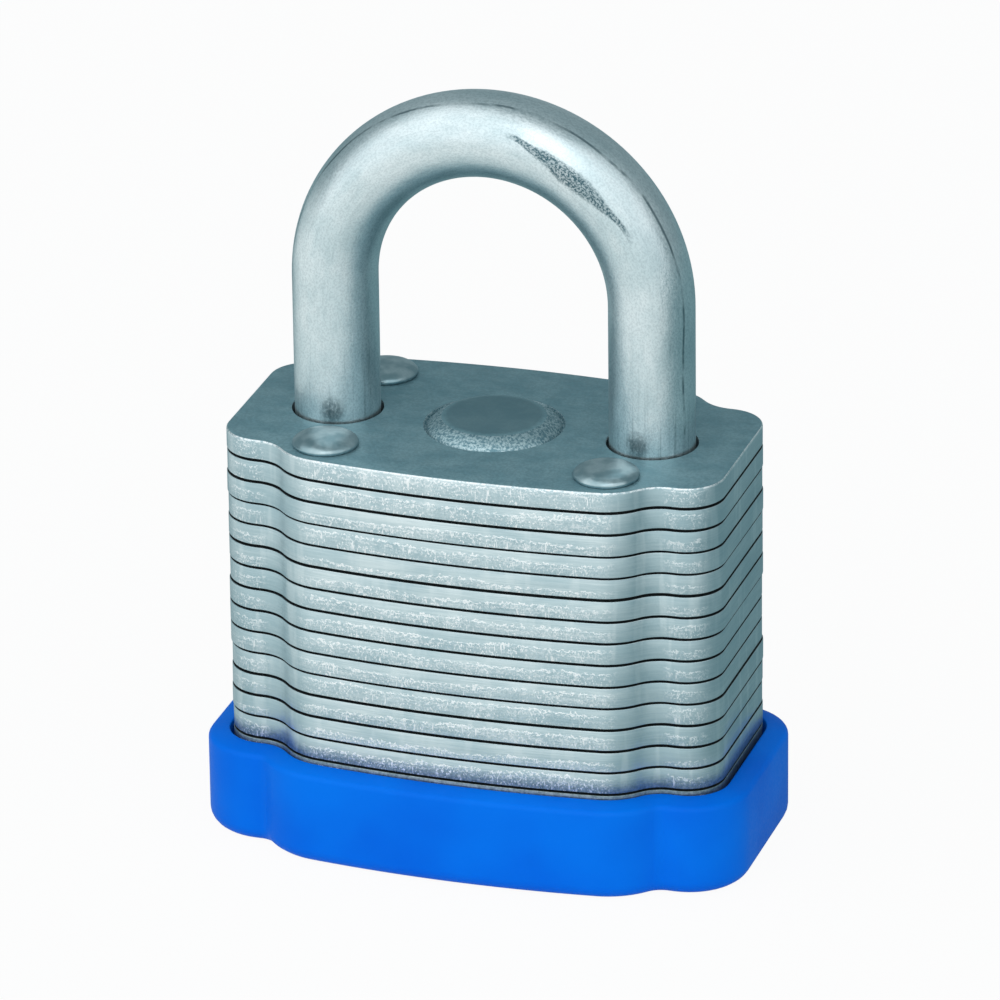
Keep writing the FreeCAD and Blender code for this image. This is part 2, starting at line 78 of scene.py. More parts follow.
# ---- small tools ---------------------------------------------------------------
def linear(hex_colour: str) -> tuple[float, float, float, float]:
    """Turns an sRGB hex colour to the linear colour that shaders take.

    Args:
        hex_colour: The colour, such as "#3366CC".

    Returns:
        Red, green, blue and an alpha of 1.
    """
    values = [int(hex_colour[i:i + 2], 16) / 255 for i in (1, 3, 5)]
    red, green, blue = (v / 12.92 if v <= 0.04045 else ((v + 0.055) / 1.055) ** 2.4 for v in values)
    return red, green, blue, 1.0


def add_node(tree: bpy.types.NodeTree, kind: str, settings: dict | None = None,
             **links: object) -> bpy.types.Node:
    """Adds a node, sets what it holds and links what feeds it.

    Args:
        tree: The node tree that takes the node.
        kind: The node's type, such as "ShaderNodeMath".
        settings: Values by property name, or by socket name or number.
        links: Output sockets by the name, or i and the number, of the input that they feed.

    Returns:
        The new node.
    """
    node = tree.nodes.new(kind)
    for name, value in (settings or {}).items():
        if isinstance(name, int) or name in node.inputs:
            node.inputs[name].default_value = value
        else:
            setattr(node, name, value)
    for name, source in links.items():
        key = int(name[1:]) if name[0] == "i" and name[1:].isdigit() else name.replace("_", " ")
        tree.links.new(source, node.inputs[key])
    return node


def bare_tree(owner: bpy.types.Material | bpy.types.World) -> bpy.types.NodeTree:
    """Turns on a material's or a world's nodes and empties them.

    Args:
        owner: The material or the world.

    Returns:
        Its empty node tree.
    """
    owner.use_nodes = True
    owner.node_tree.nodes.clear()
    return owner.node_tree


def mark_edges(shape: bmesh.types.BMesh, smooth_angle: float) -> None:
    """Shades every face smooth and marks the edges that bend past an angle as sharp.

    Args:
        shape: The bmesh to mark.
        smooth_angle: The angle in degrees past which an edge shows as sharp.
    """
    limit = math.radians(smooth_angle)
    for face in shape.faces:
        face.smooth = True
    for edge in shape.edges:
        edge.smooth = len(edge.link_faces) == 2 and edge.calc_face_angle(0.0) < limit


def new_object(name: str, shape: bmesh.types.BMesh, smooth_angle: float = SMOOTH_ANGLE) -> bpy.types.Object:
    """Turns a bmesh into an object at the origin, with sharp edges past an angle.

    Args:
        name: The piece's name.
        shape: The finished bmesh, which is freed.
        smooth_angle: The angle in degrees past which an edge shows as sharp.

    Returns:
        The linked object.
    """
    mark_edges(shape, smooth_angle)
    mesh = bpy.data.meshes.new(name)
    shape.to_mesh(mesh)
    shape.free()
    piece = bpy.data.objects.new(name, mesh)
    bpy.context.scene.collection.objects.link(piece)
    return piece


def bake(piece: bpy.types.Object) -> None:
    """Applies a piece's modifiers to its mesh.

    Args:
        piece: The piece, which gets a new mesh.
    """
    bpy.context.view_layer.update()
    graph = bpy.context.evaluated_depsgraph_get()
    baked = bpy.data.meshes.new_from_object(piece.evaluated_get(graph))
    piece.modifiers.clear()
    old = piece.data
    piece.data = baked
    bpy.data.meshes.remove(old)


def carve(piece: bpy.types.Object, cutter: bmesh.types.BMesh, operation: str = "DIFFERENCE") -> None:
    """Cuts one closed shape out of a piece, or joins it on.

    Args:
        piece: The piece to change.
        cutter: The closed shape, which is freed.
        operation: "DIFFERENCE" or "UNION".
    """
    tool = new_object("cutter", cutter)
    modifier = piece.modifiers.new("carve", "BOOLEAN")
    modifier.operation = operation
    modifier.solver = "EXACT"
    modifier.use_self = True
    modifier.object = tool
    bake(piece)
    bpy.data.objects.remove(tool)


def sharpen(piece: bpy.types.Object, smooth_angle: float = SMOOTH_ANGLE) -> None:
    """Merges doubles and marks sharp edges again after a cut.

    Args:
        piece: The piece to clean.
        smooth_angle: The angle in degrees past which an edge shows as sharp.
    """
    shape = bmesh.new()
    shape.from_mesh(piece.data)
    bmesh.ops.remove_doubles(shape, verts=shape.verts, dist=0.002 * MM)
    bmesh.ops.dissolve_degenerate(shape, edges=shape.edges, dist=0.001 * MM)
    mark_edges(shape, smooth_angle)
    shape.to_mesh(piece.data)
    shape.free()


def coat(piece: bpy.types.Object, *finishes: "Finish") -> None:
    """Gives a piece its finishes, in the order of its material slots."""
    piece.data.materials.clear()
    for finish in finishes:
        piece.data.materials.append(finish.material)


def add_cylinder(shape: bmesh.types.BMesh, radius: float, low: float, high: float,
                 centre: tuple[float, float] = (0.0, 0.0), segments: int = 64) -> None:
    """Adds a closed upright cylinder, in millimetres.

    Args:
        shape: The bmesh that takes it.
        radius: Its radius.
        low: The foot's height.
        high: The top's height.
        centre: The axis in plan.
        segments: Sides round the cylinder.
    """
    place = Matrix.Translation(Vector((centre[0], centre[1], (low + high) / 2)) * MM)
    bmesh.ops.create_cone(shape, cap_ends=True, segments=segments, radius1=radius * MM,
                          radius2=radius * MM, depth=(high - low) * MM, matrix=place)


def add_box(shape: bmesh.types.BMesh, low: Sequence[float], high: Sequence[float]) -> None:
    """Adds a closed box between two corners, in millimetres.

    Args:
        shape: The bmesh that takes it.
        low: The lowest corner.
        high: The highest corner.
    """
    middle = [(a + b) / 2 * MM for a, b in zip(low, high)]
    size = [(b - a) * MM for a, b in zip(low, high)]
    place = Matrix.Translation(middle) @ Matrix.Diagonal((*size, 1.0))
    bmesh.ops.create_cube(shape, size=1.0, matrix=place)


def lathe(profile: Iterable[tuple[float, float]], segments: int) -> bmesh.types.BMesh:
    """Spins a profile of (radius, height) points in millimetres about the Z axis.

    Args:
        profile: The outline from the lower end of the axis to the upper end.
        segments: Steps in the full turn.

    Returns:
        The closed shape.
    """
    shape = bmesh.new()
    verts = [shape.verts.new((r * MM, 0.0, z * MM)) for r, z in profile]
    edges = [shape.edges.new(pair) for pair in zip(verts, verts[1:])]
    bmesh.ops.spin(shape, geom=verts + edges, cent=(0, 0, 0), axis=(0, 0, 1), angle=math.tau,
                   steps=segments, use_merge=True, use_duplicate=False)
    bmesh.ops.remove_doubles(shape, verts=shape.verts, dist=0.001 * MM)
    bmesh.ops.recalc_face_normals(shape, faces=shape.faces)
    return shape


def edges_at(shape: bmesh.types.BMesh, height: float) -> list[bmesh.types.BMEdge]:
    """Finds the edges that lie at one height.

    Args:
        shape: The bmesh to search.
        height: The height in millimetres.

    Returns:
        The edges whose ends are both within a hundredth of a millimetre of it.
    """
    z = height * MM
    near = 0.01 * MM
    return [e for e in shape.edges if all(abs(v.co.z - z) < near for v in e.verts)]


# ---- sizes shared by the sub-assemblies -----------------------------------------
@dataclass(frozen=True)
class Stack:
    """Heights and holes of the riveted stack, read from the frame or in millimetres."""

    plates: int = 17
    foot: float = 2.9
    pitch: float = 1.895
    leg_x: float = 13.3
    bar_r: float = 3.5
    hole_r: float = 3.75
    arch_z: float = 46.885
    rivet_x: float = 11.78
    rivet_y: float = 7.7

    @property
    def top(self) -> float:
        """Height of the top plate's upper face."""
        return self.foot + self.plates * self.pitch

    def level(self, number: int) -> float:
        """Height of the underside of a plate counted from 1 at the bottom."""
        return self.foot + (number - 1) * self.pitch

    def rivets(self) -> list[tuple[str, float, float]]:
        """Names and axes of the four rivets."""
        return [(f"{side}_{hand}", x, y)
                for side, y in (("front", -self.rivet_y), ("back", self.rivet_y))
                for hand, x in (("left", -self.rivet_x), ("right", self.rivet_x))]


@dataclass(frozen=True)
class Outline:
    """The wavy plan of the plates: straight ends, set-back shoulders and a flat crown past the rivets."""

    half_width: float = 20.88
    shoulder: float = 8.45
    bulge: float = 11.81
    crown_r: float = 100.0
    wave_x: float = 14.89
    wave_angle: float = 46.5
    crest_r: float = 4.7
    valley_r: float = 3.2
    corner_r: float = 3.2

    def arcs(self, grow: float, grow_ends: float) -> list[tuple[Vector, float, float, float]]:
        """The crown, crest, valley and corner arcs of one quarter, from the middle of the long side.

        Args:
            grow: The margin at the front and the back.
            grow_ends: The margin at the two ends.

        Returns:
            Each arc's centre, radius, first and last angle; a hollow arc's radius is negative.
        """
        slope = math.radians(self.wave_angle)
        normal = Vector((math.sin(slope), math.cos(slope)))
        along = Vector((math.cos(slope), -math.sin(slope)))
        crown = Vector((0, self.bulge - self.crown_r))
        crown_y = crown.y + math.sqrt(self.crown_r ** 2 - self.wave_x ** 2)
        middle = Vector((self.wave_x, (crown_y + self.shoulder) / 2))
        reach = middle - normal * self.crest_r - crown
        shift = -reach.dot(along)
        shift -= math.sqrt(shift ** 2 - reach.dot(reach) + (self.crown_r - self.crest_r) ** 2)
        crest = middle - normal * self.crest_r + along * shift
        first = math.atan2(crest.y - crown.y, crest.x)
        fall = math.pi / 2 - slope
        valley_y = self.shoulder + self.valley_r
        valley_x = self.wave_x + (self.valley_r - (valley_y - middle.y) * normal.y) / normal.x
        corner = Vector((self.half_width - self.corner_r + grow_ends - grow, self.shoulder - self.corner_r))
        return [(crown, self.crown_r + grow, math.pi / 2, first),
                (crest, self.crest_r + grow, first, fall),
                (Vector((valley_x, valley_y)), grow - self.valley_r, fall, math.pi / 2),
                (corner, self.corner_r + grow, math.pi / 2, 0.0)]

    def face(self, grow: float, grow_ends: float, height: float, steps: int = 12) -> bmesh.types.BMesh:
        """A flat face with this plan, grown by a margin.

        Args:
            grow: The margin at the front and the back.
            grow_ends: The margin at the two ends.
            height: The face's height.
            steps: Segments in each arc.

        Returns:
            A bmesh with one face.
        """
        shape = bmesh.new()
        chain = []
        for centre, radius, first, last in self.arcs(grow, grow_ends):
            start = centre + Vector((math.cos(first), math.sin(first))) * radius
            chain.append(shape.verts.new((start.x * MM, start.y * MM, height * MM)))
            if len(chain) > 1:
                shape.edges.new(chain[-2:])
            turned = bmesh.ops.spin(shape, geom=[chain[-1]], cent=(centre.x * MM, centre.y * MM, 0),
                                    axis=(0, 0, 1), angle=last - first, steps=steps, use_merge=False,
                                    use_duplicate=False)
            chain.append(next(g for g in turned["geom_last"] if isinstance(g, bmesh.types.BMVert)))
        for axis in ("X", "Y"):
            bmesh.ops.mirror(shape, geom=shape.verts[:] + shape.edges[:], matrix=Matrix(), merge_dist=0,
                             axis=axis)
        bmesh.ops.remove_doubles(shape, verts=shape.verts, dist=0.003 * MM)
        bmesh.ops.contextual_create(shape, geom=shape.edges[:])
        return shape

    def prism(self, grow: float, grow_ends: float, low: float, high: float) -> bmesh.types.BMesh:
        """A closed block with this plan, in millimetres.

        Args:
            grow: The margin at the front and the back.
            grow_ends: The margin at the two ends.
            low: The underside's height.
            high: The upper face's height.

        Returns:
            The block, with its faces outwards.
        """
        shape = self.face(grow, grow_ends, low)
        raised = bmesh.ops.extrude_face_region(shape, geom=list(shape.faces))
        moved = [g for g in raised["geom"] if isinstance(g, bmesh.types.BMVert)]
        bmesh.ops.translate(shape, verts=moved, vec=(0, 0, (high - low) * MM))
        bmesh.ops.recalc_face_normals(shape, faces=shape.faces)
        return shape


STACK = Stack()
OUTLINE = Outline()


# ---- finishes --------------------------------------------------------------------
class Finish:
    """A material built of nodes on Object coordinates."""

    name: str = "finish"

    def __init__(self) -> None:
        """Starts the material with its shader, output and coordinates."""
        self.material = bpy.data.materials.new(self.name)
        self.tree = bare_tree(self.material)
        self.shader = self.add("ShaderNodeBsdfPrincipled")
        self.add("ShaderNodeOutputMaterial", Surface=self.shader.outputs[0])
        self.place = self.add("ShaderNodeTexCoord").outputs["Object"]
        self.build()

    def build(self) -> None:
        """Adds what makes this finish; each finish has its own."""

    def add(self, kind: str, settings: dict | None = None, **links: object) -> bpy.types.Node:
        """Adds a node to this material."""
        return add_node(self.tree, kind, settings, **links)

    def math(self, operation: str, first: object, second: object = 0.0,
             third: object = 0.0) -> bpy.types.NodeSocket:
        """A Math node of sockets or numbers.

        Args:
            operation: The node's operation.
            first: A socket or a number.
            second: A socket or a number.
            third: A socket or a number.

        Returns:
            The result's socket.
        """
        node = self.add("ShaderNodeMath", {"operation": operation})
        for socket, value in zip(node.inputs, (first, second, third)):
            if isinstance(value, (int, float)):
                socket.default_value = value
            else:
                self.tree.links.new(value, socket)
        return node.outputs[0]

    def remap(self, value: object, low: float, high: float, out_low: float = 0.0, out_high: float = 1.0,
              smooth: bool = True) -> bpy.types.NodeSocket:
        """Maps a range of values to another, clamped.

        Args:
            value: The socket to map.
            low: The value that gives out_low; it may be above high.
            high: The value that gives out_high.
            out_low: The result at low.
            out_high: The result at high.
            smooth: Whether the change is eased at both ends.

        Returns:
            The result's socket.
        """
        node = self.add("ShaderNodeMapRange",
                        {"interpolation_type": "SMOOTHSTEP" if smooth else "LINEAR", "From Min": low,
                         "From Max": high, "To Min": out_low, "To Max": out_high}, Value=value)
        return node.outputs["Result"]

    def noise(self, size_mm: float, detail: float = 2.0, stretch: Sequence[float] = (1, 1, 1),
              roughness: float = 0.5, offset: Sequence[float] = (0, 0, 0)) -> bpy.types.NodeSocket:
        """Noise whose features are about a size, longer where stretch is over 1.

        Args:
            size_mm: The features' size in millimetres.
            detail: Octaves of finer noise.
            stretch: How many times longer the features are along X, Y and Z.
            roughness: Strength of the finer octaves.
            offset: A shift of the pattern, so that two don't match.

        Returns:
            The noise's value socket.
        """
        scale = [1 / (size_mm * MM * s) for s in stretch]
        mapped = self.add("ShaderNodeMapping", {"Scale": scale, "Location": offset}, Vector=self.place)
        node = self.add("ShaderNodeTexNoise", {"Scale": 1.0, "Detail": detail, "Roughness": roughness},
                        Vector=mapped.outputs[0])
        return node.outputs["Fac"]

    def mix(self, factor: object, first: object, second: object) -> bpy.types.NodeSocket:
        """Mixes two colours, each a socket or a linear colour.

        Args:
            factor: A socket or a number.
            first: The colour at 0.
            second: The colour at 1.

        Returns:
            The mixed colour's socket.
        """
        node = self.add("ShaderNodeMix", {"data_type": "RGBA"})
        for socket, value in ((node.inputs[0], factor), (node.inputs[6], first), (node.inputs[7], second)):
            if isinstance(value, (tuple, list, int, float)):
                socket.default_value = value
            else:
                self.tree.links.new(value, socket)
        return node.outputs[2]

    def bump(self, height: object, distance_mm: float, strength: float = 1.0,
             normal: object | None = None) -> bpy.types.NodeSocket:
        """Bumps the surface by a height map.

        Args:
            height: The height's socket, 0 to 1.
            distance_mm: The depth of the relief in millimetres.
            strength: The share of it that shows.
            normal: A normal to bump further.

        Returns:
            The bumped normal's socket.
        """
        links = {"Height": height}
        if normal is not None:
            links["Normal"] = normal
        node = self.add("ShaderNodeBump", {"Strength": strength, "Distance": distance_mm * MM}, **links)
        return node.outputs[0]

    def axes(self) -> Sequence[bpy.types.NodeSocket]:
        """The three coordinates of the place on the piece."""
        return self.add("ShaderNodeSeparateXYZ", Vector=self.place).outputs

    def squares(self, first: object, second: object) -> bpy.types.NodeSocket:
        """The sum of two squares."""
        return self.math("ADD", self.math("POWER", first, 2), self.math("POWER", second, 2))

    def own(self, number: object) -> bpy.types.NodeSocket:
        """A value from 0 to 1 that is the same wherever the number is."""
        return self.add("ShaderNodeTexWhiteNoise", {"noise_dimensions": "1D"}, W=number).outputs["Value"]

    def wire(self, **links: object) -> None:
        """Feeds sockets to the shader's inputs by name."""
        for name, source in links.items():
            self.tree.links.new(source, self.shader.inputs[name.replace("_", " ")])

    def set(self, **values: object) -> None:
        """Sets constants on the shader's own inputs by name."""
        for name, value in values.items():
            self.shader.inputs[name.replace("_", " ")].default_value = value


class ShearedSteel(Finish):
    """Cold-rolled steel plate, blanked in a press and plated.

    A blanked edge shows a smooth burnished band above and a rough fractured band below, with
    ragged rows of bright flecks where the one turns into the other. The real grain of the
    fracture is finer than a tenth of a millimetre, so it is drawn coarser than that to show.
    """

    name = "blanked_zinc_plated_steel_plate"
    light = linear("#DFE9EB")
    mid = linear("#C2D4D9")
    deep = linear("#8AA8B0")
    fleck = linear("#FFFFFF")
    # the tone that the plates turn towards near the cup
    low_dark = linear("#4E656C")
    band = (0.42, 0.78)  # where the burnished band ends, as shares of the plate's height
    top_lift = 0.35  # how much higher it ends on the top plate
    front_mm = (10.5, 11.3)  # depths between which the wave turns into the front face
    shoulder_mm = (16.3, 17.6, 20.6, 19.2)  # reaches where the shoulder's face comes in and goes out
    low_dark_mm = (10.3, 8.8)  # heights between which the plates turn darker towards the cup

    def build(self) -> None:
        """Bands along each plate's edge, worked out from the plate's place in the stack."""
        x, y, z = self.axes()
        count = self.math("DIVIDE", self.math("SUBTRACT", z, STACK.foot * MM), STACK.pitch * MM)
        plate = self.math("FLOOR", count)
        along = self.math("FRACT", count)
        own_line = self.own(plate)
        own_tone = self.own(self.math("ADD", plate, 31.7))
        waver = self.noise(7.0, 3.0, (1, 1, 0.3))
        ragged = self.noise(0.3, 3.0, (1, 1, 1), 0.7)
        wander = self.math("ADD", self.remap(waver, 0.3, 0.7, -0.12, 0.12),
                           self.remap(ragged, 0.3, 0.7, -0.08, 0.08))
        is_top = self.math("GREATER_THAN", plate, STACK.plates - 1.5)
        line = self.math("ADD", self.remap(own_line, 0, 1, *self.band, False), wander)
        line = self.math("MULTIPLY_ADD", is_top, self.top_lift, line)
        below = self.math("SUBTRACT", line, along)
        depth = self.math("ABSOLUTE", y)
        reach = self.math("ABSOLUTE", x)
        front = self.remap(depth, *(v * MM for v in self.front_mm))
        shoulder_in, shoulder_full, shoulder_end, shoulder_out = (v * MM for v in self.shoulder_mm)
        shoulder = self.math("MULTIPLY", self.remap(reach, shoulder_in, shoulder_full),
                             self.remap(reach, shoulder_end, shoulder_out))
        side = self.math("MAXIMUM", front, self.math("MULTIPLY", shoulder, 0.7))
        torn = self.math("MULTIPLY", self.remap(below, -0.05, 0.10), side)
        grain = self.noise(0.17, 3.0, (1, 1, 1.6), 0.65)
        speck = self.noise(0.15, 2.0, (1, 1, 1.3), 0.6, (3, 7, 1))
        clumps = self.noise(1.3, 3.0, (1.2, 1, 0.9), 0.6)
        sparkle = self.math("MULTIPLY", self.remap(speck, 0.54, 0.64), self.remap(clumps, 0.34, 0.56))
        ticks = self.noise(0.20, 2.0, (1, 1, 6.0), 0.55, (11, 5, 2))
        tick = self.math("MULTIPLY", self.remap(ticks, 0.58, 0.68),
                         self.remap(self.noise(2.4, 2.0, (1, 1, 0.6)), 0.46, 0.60))
        dots = self.remap(self.noise(0.35, 2.0, (1, 1, 1), 0.6, (6, 1, 3)), 0.42, 0.54)
        row = self.remap(self.math("ABSOLUTE", self.math("SUBTRACT", below, 0.02)), 0.055, 0.02)
        lower_row = self.remap(self.math("ABSOLUTE", self.math("SUBTRACT", below, 0.22)), 0.05, 0.015)
        rows = self.math("MULTIPLY", self.math("MAXIMUM", row, self.math("MULTIPLY", lower_row, 0.6)), dots)
        bright = self.math("MULTIPLY", self.math("MAXIMUM", sparkle, tick), torn)
        bright = self.math("MAXIMUM", bright, self.math("MULTIPLY", rows, side))
        worn = self.math("MULTIPLY", self.math("MULTIPLY", is_top, self.remap(along, 0.86, 0.97)),
                         self.remap(ragged, 0.40, 0.52))
        bright = self.math("MAXIMUM", bright, self.math("MULTIPLY", worn, 0.8))
        streak = self.noise(0.12, 3.0, (30, 30, 1), 0.6)
        cloud = self.noise(4.0, 3.0, (1.4, 1.4, 0.5))
        upright = self.noise(1.2, 2.0, (1, 1, 8), 0.5, (8, 2, 4))
        base = self.mix(self.remap(cloud, 0.3, 0.7), self.mid, self.light)
        torn_grain = self.math("MULTIPLY", torn, self.remap(grain, 0.38, 0.62, 0.30, 0.0))
        base = self.mix(torn_grain, base, self.deep)
        base = self.mix(self.remap(streak, 0.38, 0.62, 0.28, 0.0), base, self.deep)
        base = self.mix(self.remap(own_tone, 0, 1, 0.0, 0.5, False), base, self.mid)
        # painted shade: the waves, shoulders and ends are darker than the crown at the front and back
        base = self.mix(self.remap(front, 0, 1, 0.40, 0.0), base, self.deep)
        base = self.mix(self.remap(upright, 0.52, 0.66, 0.0, 0.35), base, self.light)
        # darker towards the bottom of the stack, near the cup
        dark_from, dark_full = (v * MM for v in self.low_dark_mm)
        low = self.math("MULTIPLY", self.remap(z, dark_from, dark_full, 0.0, 0.8),
                        self.remap(ragged, 0.3, 0.7, 0.5, 1.0))
        base = self.mix(low, base, self.low_dark)
        base = self.mix(self.math("MULTIPLY", bright, 0.95), base, self.fleck)
        relief = self.math("ADD", self.math("MULTIPLY", grain, self.remap(torn, 0, 1, 0.12, 1.0, False)),
                           self.math("MULTIPLY", streak, 0.35))
        rough = self.math("ADD", self.remap(torn, 0, 1, 0.38, 0.55, False),
                          self.remap(grain, 0.3, 0.7, -0.05, 0.06))
        self.set(Metallic=0.85)
        self.wire(Base_Color=base, Roughness=rough, Normal=self.bump(relief, 0.045, 0.8))


class PaintedSeamShade(Finish):
    """Painted shade: near-black faces in the seams between the plates, where the slits lie in shade."""

    name = "painted_seam_shade"
    black = linear("#0A1114")
    brown = linear("#131C1F")

    def build(self) -> None:
        """Near black, and a little uneven."""
        self.wire(Base_Color=self.mix(self.noise(0.8, 2.0), self.black, self.brown),
                  Roughness=self.remap(self.noise(0.5, 2.0), 0.3, 0.7, 0.6, 0.8))


class TumbledSteel(Finish):
    """The top plate's flat face: rolled steel, tumbled and left dull, with rubbed edges."""

    name = "tumbled_rolled_steel_top"
    face = linear("#84A9B3")
    worn = linear("#98B9C1")
    dark = linear("#55747D")
    boss_mm = (4.3, 3.7)  # radii between which the boss's face turns darker

    def build(self) -> None:
        """Fine mottling and a few rub marks over a dull even grey."""
        cloud = self.noise(2.2, 4.0, (1.3, 1, 1), 0.6)
        fine = self.noise(0.22, 3.0, (1, 1, 1), 0.65)
        rub = self.noise(0.7, 4.0, (4, 1, 1), 0.6, (4, 9, 2))
        base = self.mix(self.remap(cloud, 0.32, 0.68), self.face, self.worn)
        base = self.mix(self.remap(fine, 0.38, 0.62, 0.30, 0.0), base, self.dark)
        base = self.mix(self.remap(rub, 0.56, 0.68, 0.0, 0.25), base, self.worn)
        x, y, _ = self.axes()
        radius = self.math("SQRT", self.squares(x, y))
        rim, inside = (v * MM for v in self.boss_mm)
        base = self.mix(self.remap(radius, rim, inside, 0.0, 0.5), base, self.dark)
        self.set(Metallic=0.75)
        self.wire(Base_Color=base, Roughness=self.remap(fine, 0.3, 0.7, 0.46, 0.60),
                  Normal=self.bump(fine, 0.015, 0.7))


class CoinedSteel(Finish):
    """The boss's flank, where the press drew the plate thin: burnished and finely pitted, its lighter colour
    partly painted highlight.
    """

    name = "coined_steel_boss_flank_and_highlight"
    bright = linear("#BCD0D4")
    dull = linear("#7395A0")

    def build(self) -> None:
        """A bright flank with fine pits; the brightness is partly painted highlight."""
        pits = self.noise(0.22, 3.0, (1, 1, 1), 0.7)
        base = self.mix(self.remap(pits, 0.40, 0.62), self.dull, self.bright)
        self.set(Metallic=1.0)
        self.wire(Base_Color=base, Roughness=self.remap(pits, 0.3, 0.7, 0.60, 0.46),
                  Normal=self.bump(pits, 0.03, 0.8))


class RivetSteel(Finish):
    """Cold-headed plated rivets."""

    name = "cold_headed_plated_rivet"
    light = linear("#B9CACE")
    mid = linear("#8DA7AE")

    def build(self) -> None:
        """Soft dents and bright rubbed patches."""
        cloud = self.noise(1.6, 2.0)
        fine = self.noise(0.22, 3.0, (1, 1, 1), 0.6)
        base = self.mix(self.remap(cloud, 0.35, 0.65), self.mid, self.light)
        base = self.mix(self.remap(fine, 0.42, 0.62, 0.25, 0.0), base, self.mid)
        relief = self.math("ADD", self.math("MULTIPLY", cloud, 0.7), self.math("MULTIPLY", fine, 0.10))
        self.set(Metallic=0.95)
        self.wire(Base_Color=base, Roughness=self.remap(fine, 0.3, 0.7, 0.28, 0.42),
                  Normal=self.bump(relief, 0.14, 0.7))


class PlatedBar(Finish):
    """Hardened round bar, tumbled and plated: a satin skin with a fine sparkling grain.

    The pattern follows the bar through its bend, by an attribute that lays it out straight.
    """

    name = "satin_plated_hardened_bar"
    light = linear("#E6EEF0")
    mid = linear("#C3D4D8")
    deep = linear("#45626B")
    foot_mm = (7.0, 0.5)  # heights over the top plate between which the legs are rubbed
    seam_deg = 63.0  # the die's line, in degrees from the front towards the outside
    patch_path = ((7.5, 16.5), (10.1, 11.0), (13.6, 9.5), (16.0, 15.8), (18.6, 24.8))  # the painted dark reflection's middle line: mm along, degrees
    patch_half = (3.5, 9.5)  # degrees: half its width at the tips, and how much more in the middle
    smudges = ((10.7, -10.0), (10.8, -6.0))  # heel and toe: mm below the bend, degrees
    smudge_size = (1.3, 16.0)  # mm along the bar, degrees round it

    def build(self) -> None:
        """Sparkle, mottling, rubbed feet, the faint line that the bar's die left, darkened as painted shade
        of its crease, and a painted dark reflection on the bend.
        """
        _, _, z = self.axes()
        straight = self.add("ShaderNodeAttribute", {"attribute_name": "bar", "attribute_type": "GEOMETRY"})
        self.place = straight.outputs["Vector"]
        ahead, outward, length = self.axes()
        grain = self.noise(0.15, 2.0, (1, 1, 1.3), 0.7)
        speck = self.noise(0.28, 3.0, (1, 1, 1.4), 0.7, (5, 2, 9))
        cloud = self.noise(2.6, 4.0, (1, 1, 2.0), 0.6)
        streak = self.noise(0.35, 3.0, (1, 1, 30), 0.6, (1, 8, 3))
        foot = self.remap(z, *((STACK.top + v) * MM for v in self.foot_mm))
        base = self.mix(self.remap(cloud, 0.3, 0.7, 0.25, 1.0), self.mid, self.light)
        base = self.mix(self.remap(grain, 0.36, 0.60, 0.20, 0.0), base, self.deep)
        base = self.mix(self.math("MULTIPLY", self.remap(foot, 0, 1, 0.25, 1.0, False),
                                  self.remap(streak, 0.5, 0.72, 0.0, 0.35)), base, self.deep)
        angle = self.math("DEGREES", self.math("ARCTAN2", outward, ahead))
        wander = self.remap(self.noise(6.0, 2.0, (1, 1, 1), 0.5, (2, 2, 7)), 0.3, 0.7, -1.6, 1.6)
        off = self.math("ABSOLUTE", self.math("SUBTRACT", self.math("ADD", angle, wander), self.seam_deg))
        worn = self.remap(self.noise(2.8, 3.0, (1, 1, 1), 0.6, (2, 2, 7)), 0.40, 0.58, 0.15, 1.0)
        # the die's line, a real mark, darkened as painted shade of the shallow crease along it
        base = self.mix(self.math("MULTIPLY", self.remap(off, 2.6, 0.8, 0.0, 0.75), worn), base, self.deep)
        # painted dark reflection on the bend
        base = self.mix(self.painted_dark_reflection(length, angle, grain), base, self.deep)
        (heel_drop, heel_turn), (toe_drop, toe_turn) = self.smudges
        for place, turn in ((math.pi * STACK.leg_x + heel_drop, heel_turn), (-toe_drop, toe_turn)):
            along = self.math("DIVIDE", self.math("SUBTRACT", length, place * MM), self.smudge_size[0] * MM)
            round_bar = self.math("DIVIDE", self.math("SUBTRACT", angle, turn), self.smudge_size[1])
            near = self.squares(along, round_bar)
            smudge = self.math("MULTIPLY", self.remap(near, 1.4, 0.1),
                               self.remap(speck, 0.36, 0.58, 0.25, 1.0))
            base = self.mix(self.math("MULTIPLY", smudge, 0.6), base, self.deep)
        relief = self.math("ADD", self.math("MULTIPLY", grain, 0.5), self.math("MULTIPLY", speck, 0.6))
        self.set(Metallic=1.0)
        self.wire(Base_Color=base, Roughness=self.remap(grain, 0.3, 0.7, 0.32, 0.41),
                  Normal=self.bump(relief, 0.035, 0.8))

    def painted_dark_reflection(self, length: object, angle: object, grain: object) -> bpy.types.NodeSocket:
        """Painted dark reflection: the long dark patch on the bend, between its two highlight bands.

        Args:
            length: Distance along the bar from the toe end of the bend.
            angle: Degrees round the bar, from the front towards the outside.
            grain: The bar's grain.

        Returns:
            How much of the dark patch shows.
        """
        first, last = self.patch_path[0][0], self.patch_path[-1][0]
        middle = self.patch_path[0][1]
        for (low, before), (high, after) in zip(self.patch_path, self.patch_path[1:]):
            middle = self.math("ADD", middle, self.remap(length, low * MM, high * MM, 0, after - before))
        share = self.remap(length, first * MM, last * MM, 0, math.pi)
        tip, swell = self.patch_half
        half = self.math("MULTIPLY_ADD", self.math("SINE", share), swell, tip)
        off = self.math("ABSOLUTE", self.math("SUBTRACT", angle, middle))
        inside = self.remap(self.math("DIVIDE", off, half), 1.25, 0.6)
        ends = self.math("MULTIPLY", self.remap(length, (first - 1.5) * MM, (first + 0.8) * MM),
                         self.remap(length, (last + 0.5) * MM, (last - 0.6) * MM))
        # the grain breaks up the painted dark reflection
        worn = self.remap(grain, 0.38, 0.62, 1.0, 0.4)
        return self.math("MULTIPLY", self.math("MULTIPLY", inside, ends), worn)


